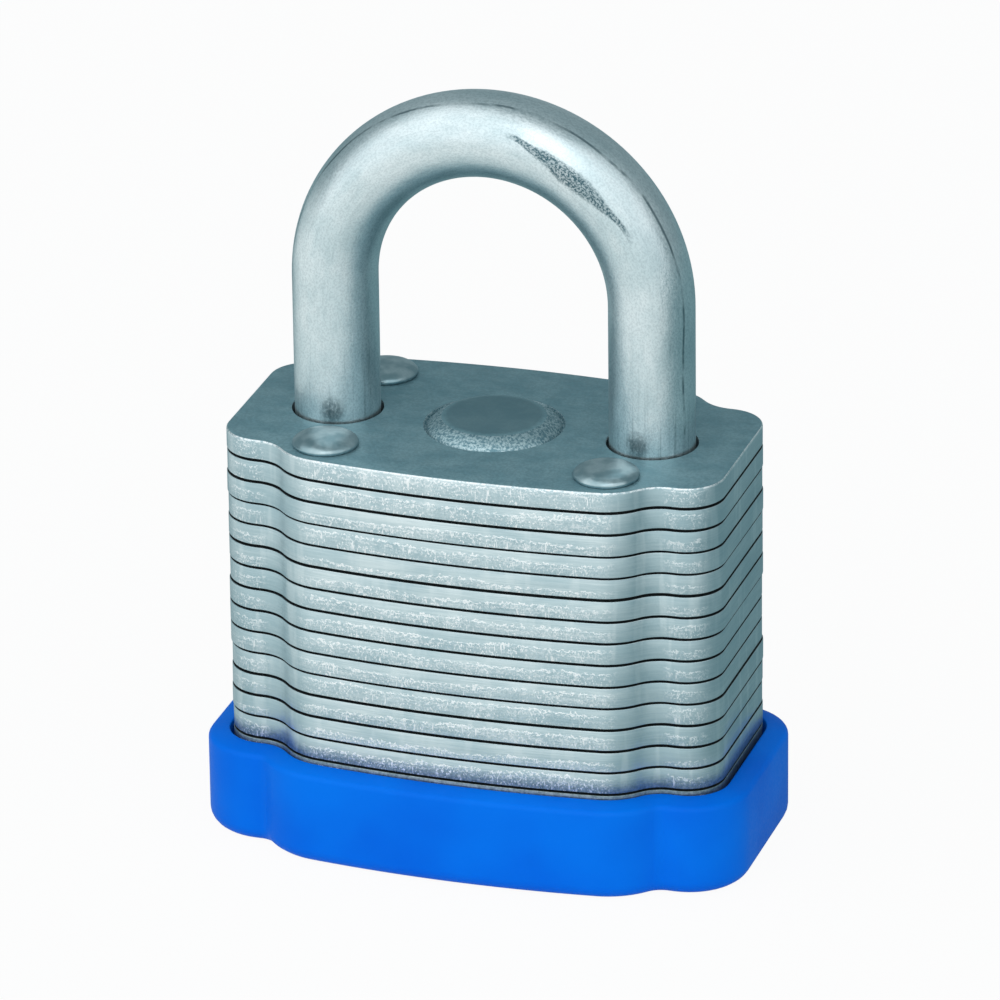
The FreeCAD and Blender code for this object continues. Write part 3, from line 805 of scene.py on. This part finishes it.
class MouldedPlastic(Finish):
    """Injection-moulded polypropylene, coloured right through, with a faint fine texture."""

    name = "moulded_blue_polypropylene"
    colour = linear("#0076EE")
    shade = linear("#006AE4")

    def build(self) -> None:
        """An even colour with slight clouds and a very shallow texture."""
        cloud = self.noise(9.0, 2.0)
        fine = self.noise(0.22, 2.0)
        ripple = self.noise(3.5, 2.0, (1, 1, 3), 0.5, (6, 1, 4))
        base = self.mix(self.remap(cloud, 0.3, 0.7), self.shade, self.colour)
        relief = self.math("ADD", self.math("MULTIPLY", fine, 0.25), ripple)
        self.set(IOR=1.49, Specular_IOR_Level=0.06)
        self.wire(Base_Color=base, Roughness=self.remap(fine, 0.3, 0.7, 0.36, 0.46),
                  Normal=self.bump(relief, 0.04, 0.5))


@dataclass(frozen=True)
class MetalLook:
    """Colours, roughness and grain of a plain machined metal."""

    name: str
    light: str
    dark: str
    roughness: float
    grain_mm: float


class MachinedMetal(Finish):
    """A turned, drawn or sintered metal with a fine grain."""

    def __init__(self, look: MetalLook) -> None:
        """Takes the look's colours and builds the material."""
        self.look = look
        self.name = look.name
        super().__init__()

    def build(self) -> None:
        """Fine tool marks round the piece over slight staining."""
        cloud = self.noise(2.5, 3.0)
        marks = self.noise(self.look.grain_mm, 2.0, (12, 12, 1))
        base = self.mix(self.remap(cloud, 0.3, 0.7), linear(self.look.light), linear(self.look.dark))
        self.set(Metallic=1.0)
        rough = self.remap(marks, 0.3, 0.7, self.look.roughness - 0.05, self.look.roughness + 0.07)
        self.wire(Base_Color=base, Roughness=rough, Normal=self.bump(marks, 0.01, 0.6))


class Metal(Enum):
    """The plain metals inside the lock."""

    # warm yellow with fine turning marks
    BRASS = MetalLook("free_cutting_brass_machined", "#D9B770", "#B08E48", 0.26, 0.08)
    # the same alloy, turned finer and a little brighter
    PIN = MetalLook("turned_brass_pin", "#DDBB74", "#B8954E", 0.22, 0.06)
    # dull grey and slightly grainy, as pressed powder is
    BOLT = MetalLook("sintered_steel_bolt", "#8B8E8C", "#6A6D6C", 0.42, 0.15)
    # plain drawn steel, fairly bright
    WIRE = MetalLook("drawn_spring_wire", "#A9ACAC", "#7D8182", 0.30, 0.06)


@dataclass
class Finishes:
    """Every finish of the lock, made once."""

    plate: Finish = field(default_factory=ShearedSteel)
    seam_shade: Finish = field(default_factory=PaintedSeamShade)
    top: Finish = field(default_factory=TumbledSteel)
    ring: Finish = field(default_factory=CoinedSteel)
    rivet: Finish = field(default_factory=RivetSteel)
    bar: Finish = field(default_factory=PlatedBar)
    plastic: Finish = field(default_factory=MouldedPlastic)
    metals: dict[Metal, Finish] = field(default_factory=lambda: {m: MachinedMetal(m.value) for m in Metal})


# ---- sub-assemblies --------------------------------------------------------------
class PlateSlot(IntEnum):
    """Material slots of a plate, in the order that they are filled."""

    EDGE = 0
    SEAM = 1
    FACE = 2
    FLANK = 3


@dataclass
class PlateStack:
    """The laminations, each a blanked plate with the holes of its level."""

    finishes: Finishes
    roll: float = 0.04
    burr: float = 0.03
    slit: tuple[float, float] = (0.18, 0.25)
    slit_depth: float = 0.35
    drift: float = 0.05
    top_round: float = 0.16
    first_slit: float = 0.05
    rivet_hole_r: float = 1.55
    plug_hole_r: float = 5.75
    cam_hole_r: float = 4.75
    post_hole_r: float = 3.15
    retainer_x: tuple[float, float] = (-18.3, -7.5)
    retainer_half: float = 5.0
    heel_from: int = 2
    toe_from: int = 12
    housing_r: float = 7.25
    tower_half: float = 2.65
    tower_reach: float = 10.95
    pocket_half: float = 9.3
    pocket_y: float = 7.25
    channel_y: float = 2.85
    boss_r: float = 5.75
    boss_sink: float = 0.9
    flank_r: tuple[float, float] = (4.2, 5.74)
    seed: int = 11

    def build(self) -> list[bpy.types.Object]:
        """Builds every plate.

        Returns:
            The plates from the bottom up.
        """
        chance = random.Random(self.seed)
        pieces = []
        for number in range(1, STACK.plates + 1):
            shift = Vector((chance.uniform(-1, 1), chance.uniform(-1, 1), 0)) * self.drift * MM
            slit = chance.uniform(*self.slit) if number > 1 else self.first_slit
            piece = self.plate(number, shift, slit)
            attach(piece, "body_pack")
            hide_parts(f"plate_{number:02d}")
            pieces.append(piece)
        return pieces

    def plate(self, number: int, shift: Vector, slit: float) -> bpy.types.Object:
        """One plate, a hair out of line with the rest, with the slit that its rolled edge leaves below.

        Args:
            number: The plate's place from the bottom.
            shift: How far it stands out of line.
            slit: Height of the slit under its edge.

        Returns:
            The finished piece.
        """
        low = STACK.level(number)
        high = low + STACK.pitch
        is_top = number == STACK.plates
        shape = OUTLINE.prism(0, 0, low + slit, high)
        for height, size in ((high, self.top_round if is_top else self.roll), (low + slit, self.burr)):
            bmesh.ops.bevel(shape, geom=edges_at(shape, height), offset=size * MM, offset_type="OFFSET",
                            segments=3, profile=0.5, affect="EDGES", material=-1)
        # the lower of the two faces that have the most corners
        under = min(shape.faces, key=lambda f: f.calc_center_median().z - len(f.verts))
        bmesh.ops.inset_region(shape, faces=[under], thickness=self.slit_depth * MM, use_even_offset=True)
        lowered = bmesh.ops.extrude_face_region(shape, geom=[under])
        bmesh.ops.translate(shape, verts=[g for g in lowered["geom"] if isinstance(g, bmesh.types.BMVert)],
                            vec=(0, 0, -slit * MM))
        if under.is_valid:
            bmesh.ops.delete(shape, geom=[under], context="FACES_ONLY")
        bmesh.ops.recalc_face_normals(shape, faces=shape.faces)
        bmesh.ops.translate(shape, verts=shape.verts, vec=Vector() if is_top else shift)
        piece = new_object(f"lamination_{number:02d}", shape)
        carve(piece, self.holes(number, low, high))
        if is_top:
            self.add_boss(piece, high)
        sharpen(piece)
        self.dress(piece, low + slit, high, is_top)
        return piece

    def dress(self, piece: bpy.types.Object, foot: float, high: float, is_top: bool) -> None:
        """Gives a plate its sheared edge, the painted shade in its seams and, on top, the dull flat face.

        Args:
            piece: The plate.
            foot: The height where its edge begins.
            high: The height of its upper face.
            is_top: Whether its upper face shows.
        """
        coat(piece, self.finishes.plate, self.finishes.seam_shade, self.finishes.top, self.finishes.ring)
        inner, outer = (r * MM for r in self.flank_r)
        for face in piece.data.polygons:
            level, rise = face.center.z, face.normal.z
            flat = abs(rise) > 0.97
            # the seams and the hidden flat faces get the near-black painted seam shade
            if level < (foot + 0.004) * MM or (flat and not is_top):
                face.material_index = PlateSlot.SEAM
            elif is_top and rise > 0.8 and level > (high - 0.32) * MM:
                face.material_index = PlateSlot.FACE
            on_flank = is_top and not flat and inner < face.center.xy.length < outer
            if on_flank and level > (high - 0.4) * MM:
                face.material_index = PlateSlot.FLANK

    def holes(self, number: int, low: float, high: float) -> bmesh.types.BMesh:
        """The cutters of a plate's level.

        Args:
            number: The plate's place from the bottom.
            low: Its underside.
            high: Its upper face.

        Returns:
            Closed shapes that overlap only where their holes join.
        """
        below, above = low - 1, high + 1
        shape = bmesh.new()
        for x, first in ((-STACK.leg_x, self.heel_from), (STACK.leg_x, self.toe_from)):
            if number >= first:
                add_cylinder(shape, STACK.hole_r, below, above, (x, 0), 96)
        for _, x, y in STACK.rivets():
            add_cylinder(shape, self.rivet_hole_r, below, above, (x, y), 32)
        if number == 1:
            add_cylinder(shape, self.plug_hole_r, below, above)
        elif number <= 11:
            add_cylinder(shape, self.housing_r, below, above)
            add_box(shape, (-self.tower_half, 0, below), (self.tower_half, self.tower_reach, above))
        elif number == 12:
            near, far = self.retainer_x
            add_cylinder(shape, self.cam_hole_r, below, above)
            add_box(shape, (near, -self.retainer_half, below), (far, self.retainer_half, above))
        elif number == 13:
            add_cylinder(shape, self.post_hole_r, below, above)
        elif number in (14, 15):
            for half, deep in ((self.pocket_half, self.pocket_y), (STACK.leg_x, self.channel_y)):
                add_box(shape, (-half, -deep, below), (half, deep, above))
        return shape

    def add_boss(self, piece: bpy.types.Object, high: float) -> None:
        """Presses the round boss and its groove into the top plate.

        Args:
            piece: The top plate.
            high: The height of its upper face.
        """
        seat = bmesh.new()
        add_cylinder(seat, self.boss_r, high - self.boss_sink, high + 1, (0, 0), 128)
        carve(piece, seat)
        under = -self.boss_sink - 0.05
        profile = [(0, under), (self.boss_r, under), (self.boss_r, -0.04), (5.71, -0.01), (5.66, -0.06),
                   (5.60, -0.24), (5.53, -0.28), (5.46, -0.22), (5.36, -0.02), (5.22, 0.12), (5.02, 0.30),
                   (4.80, 0.46), (4.60, 0.59), (4.42, 0.69), (4.26, 0.76), (4.08, 0.80), (3.85, 0.82),
                   (3.4, 0.81), (2.2, 0.78), (0, 0.77)]
        boss = lathe([(r, high + z) for r, z in profile], 128)
        carve(piece, boss, "UNION")


@dataclass
class Rivets:
    """The four rivets, headed at both ends."""

    finishes: Finishes
    head_r: float = 2.7
    head_h: float = 0.95
    shank_r: float = 1.5

    def build(self) -> list[bpy.types.Object]:
        """Builds the rivets.

        Returns:
            The four pieces.
        """
        pieces = []
        for name, x, y in STACK.rivets():
            shape = lathe(self.profile(), 72)
            bmesh.ops.translate(shape, verts=shape.verts, vec=(x * MM, y * MM, 0))
            piece = new_object(f"rivet_steel_{name}", shape, 40)
            coat(piece, self.finishes.rivet)
            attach(piece, "body_pack")
            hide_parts(f"rivet_{name}")
            pieces.append(piece)
        return pieces

    def profile(self) -> list[tuple[float, float]]:
        """Draws half a rivet's outline.

        Returns:
            Radii and heights from the foot's crown to the head's crown.
        """
        head = [(self.shank_r, 0.0), (2.45, 0.0), (2.62, 0.06), (self.head_r, 0.20), (2.68, 0.32),
                (2.56, 0.48), (2.30, 0.65), (1.95, 0.79), (1.45, 0.89), (0.8, 0.94), (0.0, self.head_h)]
        foot = [(r, STACK.foot - h) for r, h in reversed(head)]
        return foot + [(r, STACK.top + h) for r, h in head]


@dataclass
class Shackle:
    """Round bar bent to an arch, with bolt notches in both legs and a neck in the heel leg."""

    finishes: Finishes
    around: int = 72
    bend_steps: int = 72
    toe_end: float = 24.935
    notch_low: float = 27.435
    notch_high: float = 31.425
    notch_depth: float = 1.9
    notch_from: float = 8.0
    notch_half: float = 5.0
    heel_end: float = 10.865
    heel_stop: float = 12.865
    neck_top: float = 25.835
    neck_r: float = 1.6

    def build(self) -> bpy.types.Object:
        """Builds the shackle.

        Returns:
            The one piece.
        """
        shape = bmesh.new()
        start = Matrix.Translation(Vector((STACK.leg_x, 0, STACK.arch_z)) * MM)
        ring = bmesh.ops.create_circle(shape, cap_ends=False, segments=self.around,
                                       radius=STACK.bar_r * MM, matrix=start)
        edges = list({e for v in ring["verts"] for e in v.link_edges})
        bent = bmesh.ops.spin(shape, geom=ring["verts"] + edges, cent=(0, 0, STACK.arch_z * MM),
                              axis=(0, -1, 0), angle=math.pi, steps=self.bend_steps, use_merge=False,
                              use_duplicate=False)
        heel_ring = [g for g in bent["geom_last"] if isinstance(g, bmesh.types.BMEdge)]
        self.leg(shape, edges, STACK.leg_x, self.toe_steps())
        self.leg(shape, heel_ring, -STACK.leg_x, self.heel_steps())
        bmesh.ops.remove_doubles(shape, verts=shape.verts, dist=0.001 * MM)
        bmesh.ops.recalc_face_normals(shape, faces=shape.faces)
        piece = new_object("shackle_bar", shape)
        carve(piece, self.notches())
        sharpen(piece)
        self.lay_out(piece)
        coat(piece, self.finishes.bar)
        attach(piece, "shackle_arm")
        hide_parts("shackle")
        return piece

    def toe_steps(self) -> list[tuple[float, float]]:
        """Heights and radii down the toe leg."""
        return [(STACK.top, STACK.bar_r), (self.toe_end + 0.8, STACK.bar_r), (self.toe_end + 0.35, 3.2),
                (self.toe_end + 0.08, 2.9), (self.toe_end, 2.6)]

    def heel_steps(self) -> list[tuple[float, float]]:
        """Heights and radii down the heel leg, with its neck and its stop."""
        return [(STACK.top, STACK.bar_r), (self.neck_top, STACK.bar_r), (self.neck_top, self.neck_r),
                (self.heel_stop, self.neck_r), (self.heel_stop, STACK.bar_r),
                (self.heel_end + 0.5, STACK.bar_r), (self.heel_end + 0.1, 3.25), (self.heel_end, 3.0)]

    def leg(self, shape: bmesh.types.BMesh, rim: list[bmesh.types.BMEdge], x: float,
            steps: list[tuple[float, float]]) -> None:
        """Draws a leg down from a rim and closes its end.

        Args:
            shape: The bmesh with the rim.
            rim: The open edge loop at the bend's end.
            x: The leg's axis.
            steps: Heights and radii on the way down.
        """
        height, radius = STACK.arch_z, STACK.bar_r
        for next_height, next_radius in steps:
            grown = bmesh.ops.extrude_edge_only(shape, edges=rim)["geom"]
            verts = [g for g in grown if isinstance(g, bmesh.types.BMVert)]
            rim = [g for g in grown if isinstance(g, bmesh.types.BMEdge)]
            bmesh.ops.translate(shape, verts=verts, vec=(0, 0, (next_height - height) * MM))
            if next_radius != radius:
                share = next_radius / radius
                about = Matrix.Translation((-x * MM, 0, 0))
                bmesh.ops.scale(shape, verts=verts, vec=(share, share, 1), space=about)
            height, radius = next_height, next_radius
        bmesh.ops.edgeloop_fill(shape, edges=rim)

    def notches(self) -> bmesh.types.BMesh:
        """Cutters for the two recesses that the bolts enter.

        Returns:
            Two closed boxes.
        """
        shape = bmesh.new()
        flat = STACK.leg_x - STACK.bar_r + self.notch_depth
        for low, high in ((self.notch_from, flat), (-flat, -self.notch_from)):
            add_box(shape, (low, -self.notch_half, self.notch_low), (high, self.notch_half, self.notch_high))
        return shape

    def lay_out(self, piece: bpy.types.Object) -> None:
        """Stores where each point lies on the straightened bar: ahead, outward and along it.

        Args:
            piece: The shackle.
        """
        layer = piece.data.attributes.new("bar", "FLOAT_VECTOR", "POINT")
        values = []
        for vert in piece.data.vertices:
            x, y, z = vert.co / MM
            if z > STACK.arch_z:
                out = math.hypot(x, z - STACK.arch_z) - STACK.leg_x
                length = math.atan2(z - STACK.arch_z, x) * STACK.leg_x
            else:
                out = abs(x) - STACK.leg_x
                length = z - STACK.arch_z if x > 0 else math.pi * STACK.leg_x + STACK.arch_z - z
            values += [-y * MM, out * MM, length * MM]
        layer.data.foreach_set("vector", values)


@dataclass
class Bumper:
    """The moulded cup round the foot of the stack."""

    finishes: Finishes
    wall: float = 1.9
    end_fit: float = 0.22
    lip_z: float = 8.35
    lip_drop: float = 0.42
    mouth_inset: float = 1.8
    bottom_round: float = 1.4
    lip_round: float = 0.4
    mouth_round: float = 0.18
    smooth_angle: float = 40.0
    plug_hole_r: float = 5.85
    pocket_r: float = 3.0
    pocket_z: float = 1.65

    def build(self) -> bpy.types.Object:
        """Builds the cup.

        Returns:
            The one piece.
        """
        shape = OUTLINE.prism(self.wall, self.wall + self.end_fit, 0, self.lip_z - self.lip_drop)
        lid = max(shape.faces, key=lambda f: f.calc_center_median().z)
        bmesh.ops.inset_region(shape, faces=[lid], thickness=self.mouth_inset * MM, depth=self.lip_drop * MM,
                               use_even_offset=True)
        cup = bmesh.ops.extrude_face_region(shape, geom=[lid])
        floor = [g for g in cup["geom"] if isinstance(g, bmesh.types.BMVert)]
        if lid.is_valid:
            bmesh.ops.delete(shape, geom=[lid], context="FACES_ONLY")
        bmesh.ops.translate(shape, verts=floor, vec=(0, 0, (STACK.foot - self.lip_z) * MM))
        bmesh.ops.recalc_face_normals(shape, faces=shape.faces)
        self.soften(shape, 0, self.bottom_round, 6)
        self.soften(shape, self.lip_z - self.lip_drop, self.lip_round, 4)
        self.soften(shape, self.lip_z, self.mouth_round, 3)
        piece = new_object("bumper_cup", shape, self.smooth_angle)
        carve(piece, self.openings())
        sharpen(piece, self.smooth_angle)
        coat(piece, self.finishes.plastic)
        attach(piece, "body_pack")
        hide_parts("base_bumper")
        return piece

    def soften(self, shape: bmesh.types.BMesh, height: float, size: float, segments: int) -> None:
        """Rounds the edges at one height."""
        bmesh.ops.bevel(shape, geom=edges_at(shape, height), offset=size * MM, offset_type="OFFSET",
                        segments=segments, profile=0.5, affect="EDGES", material=-1)

    def openings(self) -> bmesh.types.BMesh:
        """Cutters for the plug's opening and the pockets over the rivets' feet.

        Returns:
            Five closed cylinders.
        """
        shape = bmesh.new()
        add_cylinder(shape, self.plug_hole_r, -1, STACK.foot + 1, (0, 0), 96)
        for _, x, y in STACK.rivets():
            add_cylinder(shape, self.pocket_r, self.pocket_z, STACK.foot + 1, (x, y), 48)
        return shape


@dataclass
class LockWorks:
    """The pieces inside, which keep their CAD shape and get their metals here."""

    finishes: Finishes
    nodes: dict[str, bpy.types.Object]

    def dress(self) -> None:
        """Assigns a metal to each inner piece by what it is."""
        metals = {"key_pin": Metal.PIN, "driver_pin": Metal.PIN, "driver_spring": Metal.WIRE,
                  "cylinder": Metal.BRASS, "pin_chamber": Metal.BRASS, "plug_clip": Metal.WIRE,
                  "ejector": Metal.WIRE, "bolt_cam": Metal.BOLT, "toe_bolt_spring": Metal.WIRE,
                  "heel_bolt_spring": Metal.WIRE, "toe_bolt": Metal.BOLT, "heel_bolt": Metal.BOLT,
                  "heel_retainer": Metal.BOLT}
        for name, node in self.nodes.items():
            metal = next((m for start, m in metals.items() if name.startswith(start)), None)
            if metal is not None:
                coat(node, self.finishes.metals[metal])


# ---- studio ----------------------------------------------------------------------
@dataclass
class Studio:
    """Floor, world, lamps and camera.

    The camera's angles are in degrees, its distance is from the middle of the top plate, scale is
    the frame's units per millimetre there, and aim shifts that point right and up in millimetres.
    """

    azimuth: float = 17.874
    elevation: float = 23.484
    roll: float = 0.710
    distance_mm: float = 688.91
    scale: float = 12.3989
    aim: tuple[float, float] = (-0.4534, 6.1245)
    sensor_mm: float = 36.0
    frame_width: float = 1000.0
    floor_size: float = 1.5
    floor_drop_mm: float = 0.05
    floor_clear: float = 0.95
    lit_side: tuple[float, float, float] = (-0.5, -0.87, 0.0)
    lit_from: tuple[float, float] = (-0.04, 0.08)
    sheet_dim: tuple[float, float, float, float] = (0.18, 0.31, 0.34, 1.0)
    sheet_bright: tuple[float, float, float, float] = (0.93, 1.0, 1.0, 1.0)
    room: tuple[float, float, float, float] = (0.64, 0.92, 1.0, 1.0)
    room_strength: float = 0.32
    room_glimmer: float = 0.08

    def build(self) -> None:
        """Sets up everything that isn't the object."""
        self.camera()
        self.floor()
        self.world()
        self.lamps()
        bpy.context.scene.view_settings.view_transform = "Standard"

    def axes(self) -> tuple[Vector, Vector, Vector]:
        """Works out where the camera faces.

        Returns:
            Its right, up and backward directions.
        """
        az, el, roll = (math.radians(a) for a in (self.azimuth, self.elevation, self.roll))
        right = Vector((math.cos(az), math.sin(az), 0))
        back = Vector((math.sin(az) * math.cos(el), -math.cos(az) * math.cos(el), math.sin(el)))
        up = back.cross(right)
        turned_right = right * math.cos(roll) - up * math.sin(roll)
        turned_up = right * math.sin(roll) + up * math.cos(roll)
        return turned_right, turned_up, back

    def camera(self) -> None:
        """A long lens, well back, a little to the right and above."""
        right, up, back = self.axes()
        target = Vector((0, 0, STACK.top))
        place = (target + back * self.distance_mm - right * self.aim[0] - up * self.aim[1]) * MM
        data = bpy.data.cameras.new("studio_camera")
        data.sensor_width = self.sensor_mm
        data.lens = self.scale * self.distance_mm / self.frame_width * self.sensor_mm
        data.clip_start = 0.05
        camera = bpy.data.objects.new("studio_camera", data)
        turn = Matrix((right, up, back)).transposed().to_4x4()
        camera.matrix_world = Matrix.Translation(place) @ turn
        bpy.context.scene.collection.objects.link(camera)
        bpy.context.scene.camera = camera

    def floor(self) -> None:
        """A plain white floor with a soft shadow, open from below.

        Metal sees it bright in front and dim behind, as under a soft box with a dark room past it.
        """
        shape = bmesh.new()
        bmesh.ops.create_grid(shape, x_segments=1, y_segments=1, size=self.floor_size)
        bmesh.ops.translate(shape, verts=shape.verts, vec=(0, 0, -self.floor_drop_mm * MM))
        floor = new_object("studio_floor", shape)
        material = bpy.data.materials.new("studio_white_paper")
        tree = bare_tree(material)
        paper = add_node(tree, "ShaderNodeBsdfDiffuse", {"Color": (0.8, 0.8, 0.8, 1)})
        white = add_node(tree, "ShaderNodeEmission", {"Color": (1, 1, 1, 1), "Strength": 1.0})
        glossy, clear = self.rays(tree)
        seen = add_node(tree, "ShaderNodeMath", {"operation": "MULTIPLY", 1: self.floor_clear}, i0=clear)
        plain = add_node(tree, "ShaderNodeMixShader", None, i0=seen.outputs[0], i1=paper.outputs[0],
                         i2=white.outputs[0])
        place = add_node(tree, "ShaderNodeTexCoord")
        ahead = add_node(tree, "ShaderNodeVectorMath", {"operation": "DOT_PRODUCT", 1: self.lit_side},
                         i0=place.outputs["Object"])
        sweep = add_node(tree, "ShaderNodeMapRange",
                         {"interpolation_type": "SMOOTHSTEP", "From Min": self.lit_from[0],
                          "From Max": self.lit_from[1]}, Value=ahead.outputs["Value"])
        tint = add_node(tree, "ShaderNodeMix",
                        {"data_type": "RGBA", 6: self.sheet_dim, 7: self.sheet_bright}, i0=sweep.outputs[0])
        sheet = add_node(tree, "ShaderNodeEmission", {"Strength": 1.0}, Color=tint.outputs[2])
        mixed = add_node(tree, "ShaderNodeMixShader", None, i0=glossy, i1=plain.outputs[0],
                         i2=sheet.outputs[0])
        side = add_node(tree, "ShaderNodeNewGeometry")
        open_air = add_node(tree, "ShaderNodeBsdfTransparent")
        whole = add_node(tree, "ShaderNodeMixShader", None, i0=side.outputs["Backfacing"],
                         i1=mixed.outputs[0], i2=open_air.outputs[0])
        add_node(tree, "ShaderNodeOutputMaterial", Surface=whole.outputs[0])
        floor.data.materials.append(material)
        floor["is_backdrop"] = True

    def rays(self, tree: bpy.types.NodeTree) -> tuple[bpy.types.NodeSocket, bpy.types.NodeSocket]:
        """Tells the rays apart that see the studio otherwise than its light falls.

        Args:
            tree: The floor's or the world's node tree.

        Returns:
            Sockets that are 1 for reflected rays, and for rays from the camera or through glass.
        """
        path = add_node(tree, "ShaderNodeLightPath")
        clear = add_node(tree, "ShaderNodeMath", {"operation": "MAXIMUM"}, i0=path.outputs["Is Camera Ray"],
                         i1=path.outputs["Is Transmission Ray"])
        return path.outputs["Is Glossy Ray"], clear.outputs[0]

    def world(self) -> None:
        """White behind the object, and a dimmer, cool room that the metal reflects instead."""
        world = bpy.data.worlds.new("studio_room")
        bpy.context.scene.world = world
        tree = bare_tree(world)
        room = add_node(tree, "ShaderNodeBackground", {"Color": self.room, "Strength": self.room_strength})
        white = add_node(tree, "ShaderNodeBackground", {"Color": (1, 1, 1, 1), "Strength": 1.0})
        glossy, clear = self.rays(tree)
        seen = add_node(tree, "ShaderNodeMath", {"operation": "MULTIPLY_ADD", 1: self.room_glimmer},
                        i0=glossy, i2=clear)
        mixed = add_node(tree, "ShaderNodeMixShader", None, i0=seen.outputs[0],
                         i1=room.outputs[0], i2=white.outputs[0])
        add_node(tree, "ShaderNodeOutputWorld", Surface=mixed.outputs[0])

    def lamps(self) -> None:
        """A large soft box above the front on the left and a weaker one at the right."""
        self.lamp("key_box", (-0.50, -0.86, 0.72), (-0.02, -0.06, 0.01), size=2.3, watts=15.8)
        self.lamp("fill_box", (0.75, -0.75, 0.55), (0, 0, 0.03), size=1.7, watts=7.0)

    def lamp(self, name: str, place: Sequence[float], target: Sequence[float], size: float,
             watts: float) -> None:
        """A square area lamp that looks at a point.

        Args:
            name: The lamp's name.
            place: Where it stands, in metres.
            target: What it looks at.
            size: Its side in metres.
            watts: Its power.
        """
        data = bpy.data.lights.new(name, "AREA")
        data.size = size
        data.energy = watts
        lamp = bpy.data.objects.new(name, data)
        lamp.location = place
        aim = Vector(target) - Vector(place)
        lamp.rotation_euler = aim.to_track_quat("-Z", "Y").to_euler()
        bpy.context.scene.collection.objects.link(lamp)


def write_sizes(visual: object) -> None:
    """Takes the visual model's box and does nothing with it.

    Args:
        visual: The bounds of the visual model; not used.
    """
    def plain(bounds: object) -> list:
        """Turns corners to lists of numbers."""
        return [[float(v) for v in corner] for corner in bounds]


def report(pieces: bpy.types.Object | list[bpy.types.Object]) -> None:
    """Logs each finished piece and its face count.

    Args:
        pieces: One piece or a list of them.
    """
    for piece in pieces if isinstance(pieces, list) else [pieces]:
        LOG.info("%s: %d faces", piece.name, len(piece.data.polygons))


def main() -> None:
    """Builds the padlock round its frame."""
    logging.basicConfig(level=logging.INFO, format="%(name)s %(message)s")
    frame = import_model()
    finishes = Finishes()
    report(PlateStack(finishes).build())
    report(Rivets(finishes).build())
    report(Shackle(finishes).build())
    report(Bumper(finishes).build())
    LockWorks(finishes, frame["nodes"]).dress()
    Studio().build()
    write_sizes(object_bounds())


if __name__ == "__main__":
    main()
